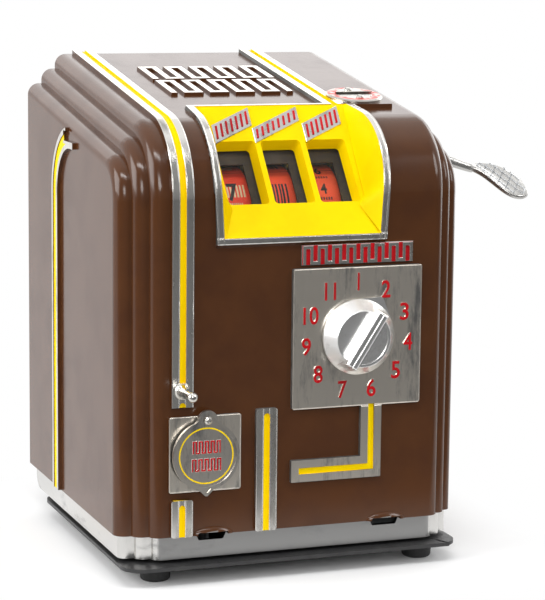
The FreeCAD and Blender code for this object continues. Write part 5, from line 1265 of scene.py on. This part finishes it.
@dataclass
class LeverDress:
    """The cross-hatching on the lever's grip."""

    left: float = 157.0
    right: float = 186.0
    near: float = -31.0
    far: float = -1.5
    spacing: float = 5.4
    width: float = 1.1
    height: float = 0.5
    slant: float = 52.0
    rows: int = 6
    reach: int = 30
    edge_room: float = 1.2
    evening: int = 3
    above: float = 300.0

    def dress(self, lever: Object, palette: Palette) -> None:
        """Lay raised lines over the grip's upper side."""
        tree = tree_of(lever.data)
        piece = Carving("lever_cross_hatching", [palette["zinc"]])
        middle = Vector(((self.left + self.right) / 2, (self.near + self.far) / 2))
        for sign in (1, -1):
            turn = math.radians(self.slant) * sign
            heading = Vector((math.cos(turn), math.sin(turn)))
            side = Vector((-heading.y, heading.x))
            for row in range(-self.rows, self.rows + 1):
                self._line(piece, tree, middle + side * self.spacing * row, heading, side)
        piece.finish("lever", 60.0)

    def _evened(self, run: list[tuple[Vector, Vector]]) -> list[tuple[Vector, Vector]]:
        """Even out a line, so that it doesn't show the facets under it."""
        evened: list[tuple[Vector, Vector]] = []
        for place, (hit, _) in enumerate(run):
            around = run[max(0, place - self.evening):place + self.evening + 1]
            lean = Vector((0.0, 0.0, 0.0))
            for _, normal in around:
                lean += normal
            evened.append((hit, lean.normalized()))
        return evened

    def _line(self, piece: Carving, tree: BVHTree, start: Vector, heading: Vector,
              side: Vector) -> None:
        """Lay one line where the grip lies under it."""
        run: list[tuple[Vector, Vector]] = []
        for count in range(-self.reach, self.reach + 1):
            place = start + heading * count
            (hit, normal), *sides = [
                tree.ray_cast(Vector((spot.x, spot.y, self.above)) * MM, Vector((0, 0, -1)))[:2]
                for spot in (place, place + side * self.edge_room, place - side * self.edge_room)]
            inside = hit is not None and all(found is not None for found, _ in sides) \
                and place.x > self.left and normal.z > 0.5
            if inside:
                run.append((hit, normal))
            if (not inside or count == self.reach) and len(run) > 2:
                self._ridge(piece, self._evened(run), side)
            if not inside:
                run = []

    def _ridge(self, piece: Carving, run: list[tuple[Vector, Vector]], side: Vector) -> None:
        """Build one small ridge along the places it runs over."""
        across = Vector((side.x, side.y, 0.0))
        rings = []
        for index, (place, normal) in enumerate(run):
            end = index in (0, len(run) - 1)
            lift = 0.02 if end else self.height
            outer = across - normal * across.dot(normal)
            outer.normalize()
            foot = place - normal * 0.15 * MM
            rings.append([piece.mesh.verts.new(foot - outer * self.width / 2 * MM),
                          piece.mesh.verts.new(place + normal * lift * MM),
                          piece.mesh.verts.new(foot + outer * self.width / 2 * MM)])
        for first, second in zip(rings, rings[1:]):
            for k in range(3):
                after = (k + 1) % 3
                piece.mesh.faces.new((first[k], first[after], second[after], second[k]))
        piece.mesh.faces.new(rings[0])
        piece.mesh.faces.new(list(reversed(rings[-1])))


NODE_FINISHES = {
    "band": "base_casting",
    "japan": "base_plate underside_cap",
    "rubber": "rubber_feet",
    "steel": "foot_screws base_screws mask_screws selector_shaft detent_wheel plunger_spring "
        "spacer_bars frame_screws reel_shaft hinge_case_leaves hinge_door_leaves hinge_pins",
    "glass": "window_glass",
    "dark": "reel_mask",
    "chrome": "coin_entry_screws gum_door_pin plunger_guide plunger lock_barrel",
    "brass": "selector_bushing shaft_collars lock_plug",
    "bright": "selector_knob",
    "door": "gum_door",
    "zinc": "gum_cup gum_hopper plunger_bracket frame_plate_left frame_plate_right stop_bail "
        "lever_bracket coin_chute cash_box",
    "grip": "lever_handle",
    "brown": "back_door",
}


class Fixings:
    """Finishes of the nodes that keep their own shape."""

    def dress(self, nodes: dict[str, Object], palette: Palette) -> None:
        """Give each node its finish."""
        finishes = {name: finish for finish, names in NODE_FINISHES.items()
                    for name in names.split()}
        for name, node in nodes.items():
            finish = finishes.get(name)
            if finish is None and name.startswith("reel_"):
                finish = {"drum": "raw", "wheel": "brass"}.get(name.rsplit("_", 1)[-1])
            if finish:
                paint(node, palette[finish])
            smooth_node(node)
        ring = RingPlate("coin_plate_ring", (0.56, 0.54, 0.50), colour_of(206, 70, 62),
                         63.2, -19.5, 12.4, 17.8)
        paint(nodes["coin_entry_plate"], palette.add("coin_plate", ring))
        log.info("nodes dressed, %d", len(nodes))


def smooth_node(node: Object, angle: float = 25.0) -> None:
    """Shade a node smooth except over its real edges."""
    node.data.shade_smooth()
    node.data.set_sharp_from_angle(angle=math.radians(angle))


def light_paths(tree: NodeTree) -> list[Term]:
    """Give whether a ray comes from the camera, a shiny surface or through glass."""
    return [tree.node("ShaderNodeLightPath", {}, {}, "Is %s Ray" % kind)
            for kind in ("Camera", "Glossy", "Transmission")]


LAMPS = (
    ("left_softbox", (-1.6, -0.1, 0.9), (1.2, 1.2), 24.0),
    ("right_softbox", (1.2, -1.1, 1.1), (0.5, 0.8), 8.0),
    ("overhead_strip", (-0.25, -0.75, 1.5), (1.1, 0.16), 8.0),
    ("front_fill", (-0.7, -2.2, 1.0), (0.8, 0.8), 17.0),
    ("right_rear_softbox", (1.5, 0.75, 0.6), (0.8, 1.4), 9.0),
    ("rear_softbox", (0.35, 1.9, 1.15), (2.7, 1.2), 9.0),
)
LAMP_TARGET = Vector((0.0, 0.0, 0.16))


@dataclass
class Studio:
    """Floor, background, soft lamps and the camera at the photograph's angle."""

    width_px: float = 545.0
    height_px: float = 600.0
    focal_px: float = 2275.56
    centre_px: tuple[float, float] = (274.89, 284.68)
    place: tuple[float, float, float] = (-498.9, -1376.9, 394.1)
    around: float = 20.57
    up: float = 8.75
    roll: float = 0.63
    half_width: float = 117.0
    middle_y: float = 13.0
    half_depth: float = 113.0

    def camera(self) -> None:
        """Put the camera where the photograph was taken from."""
        around, up = math.radians(self.around), math.radians(self.up)
        back = Vector((-math.sin(around) * math.cos(up), -math.cos(around) * math.cos(up),
                       math.sin(up)))
        right = Vector((0, 0, 1)).cross(back).normalized()
        upward = back.cross(right)
        tilt = math.radians(self.roll)
        side = right * math.cos(tilt) + upward * math.sin(tilt)
        head = upward * math.cos(tilt) - right * math.sin(tilt)
        data = bpy.data.cameras.new("photo_camera")
        data.sensor_fit = "HORIZONTAL"
        data.sensor_width = 36.0
        data.lens = self.focal_px / self.width_px * 36.0
        data.shift_x = -(self.centre_px[0] - self.width_px / 2) / self.width_px
        data.shift_y = (self.centre_px[1] - self.height_px / 2) / self.width_px
        data.clip_start = 0.05
        data.clip_end = 50.0
        holder = placed("photo_camera", data)
        turn = Matrix((side, head, back)).transposed().to_4x4()
        holder.matrix_world = Matrix.Translation(Vector(self.place) * MM) @ turn
        bpy.context.scene.camera = holder

    @staticmethod
    def lamp(name: str, place: tuple[float, float, float], size: Flat, power: float) -> None:
        """Hang one soft lamp.

        Args:
            name: Its name.
            place: Where it hangs, in metres.
            size: Width and height of its face.
            power: Its power in watts.
        """
        data = bpy.data.lights.new(name, "AREA")
        data.shape = "RECTANGLE"
        data.size, data.size_y = size
        data.energy = power
        holder = placed(name, data)
        heading = LAMP_TARGET - Vector(place)
        holder.matrix_world = Matrix.Translation(Vector(place)) @ \
            heading.to_track_quat("-Z", "Y").to_matrix().to_4x4()

    @staticmethod
    def world() -> None:
        """Make the surroundings: white to the camera, dim in front for the shine of metal."""
        world = bpy.data.worlds.new("studio")
        bpy.context.scene.world = world
        world.use_nodes = True
        room = NodeTree(world.node_tree)

        def background(strength: float) -> Term:
            """Add one white background."""
            return room.node("ShaderNodeBackground", {}, {"Color": (1.0, 1.0, 1.0, 1.0),
                                                          "Strength": strength})

        def mixed(share: Term, first: Term, second: Term) -> Term:
            """Mix two backgrounds."""
            return room.node("ShaderNodeMixShader", {}, {0: share, 1: first, 2: second})

        place = room.node("ShaderNodeTexCoord", {}, {}, "Generated")
        depth = room.node("ShaderNodeSeparateXYZ", {}, {0: place}, "Y")
        behind = room.node("ShaderNodeMapRange", {}, {0: depth, 1: -0.6, 2: 0.0, 3: 0.0, 4: 1.0})
        camera, glossy, through = light_paths(room)
        shiny = mixed(glossy, background(0.5), mixed(behind, background(0.24), background(1.02)))
        final = mixed(camera.most(through), shiny, background(1.0))
        room.node("ShaderNodeOutputWorld", {}, {0: final}, None)

    def floor(self) -> None:
        """Lay the floor: it takes the shadow near the machine and is white further out.

        In front of what the camera sees, it is dim, as the room there is.
        """
        made = bmesh.new()
        bmesh.ops.create_circle(made, cap_ends=True, segments=96, radius=6.0)
        data = bpy.data.meshes.new("floor")
        made.to_mesh(data)
        made.free()
        shader = Shader("floor_white")
        across, away = shader.axis(0), shader.axis(1)
        behind = away.ramp(-270.0, -140.0)
        shader.set(Base_Color=shader.blend(behind, (0.12, 0.12, 0.12), (0.9, 0.9, 0.9)),
                   Roughness=0.9, Specular_IOR_Level=0.0)
        beside = (across.size() - self.half_width).most(0.0)
        beyond = ((away - self.middle_y).size() - self.half_depth).most(0.0)
        reach = (beside * beside + beyond * beyond).root()
        camera, glossy, through = light_paths(shader)
        shader.glow(reach.ramp(2.0, 75.0) * (camera + through + glossy * behind))
        data.materials.append(shader.material)
        placed("floor", data)

    def build(self) -> None:
        """Set up floor, background, lamps, camera and colour handling."""
        self.floor()
        self.world()
        for lamp in LAMPS:
            self.lamp(*lamp)
        self.camera()
        bpy.context.scene.view_settings.view_transform = "Standard"


def main() -> None:
    """Load the frame, dress it piece by piece and light it."""
    logging.basicConfig(level=logging.INFO, format="%(message)s")
    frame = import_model()
    nodes = frame["nodes"]
    palette = Palette()
    Fixings().dress(nodes, palette)
    case = CaseDress()
    case.dress(case.casting(nodes["case_shell"]), palette)
    case.lining(palette)
    case.foundation(nodes)
    stand_in(nodes["reel_mask"], "reel_mask", "reel_mask_sheet", case.opened)
    ornaments = Ornaments()
    ornaments.top_bands(palette)
    ornaments.title_plate(palette)
    ornaments.window_tags(palette)
    ornaments.numbers(palette)
    GumDoorDress().dress(palette)
    ReelDress().dress(nodes, palette)
    LeverDress().dress(nodes["lever_handle"], palette)
    Studio().build()


if __name__ == "__main__":
    main()
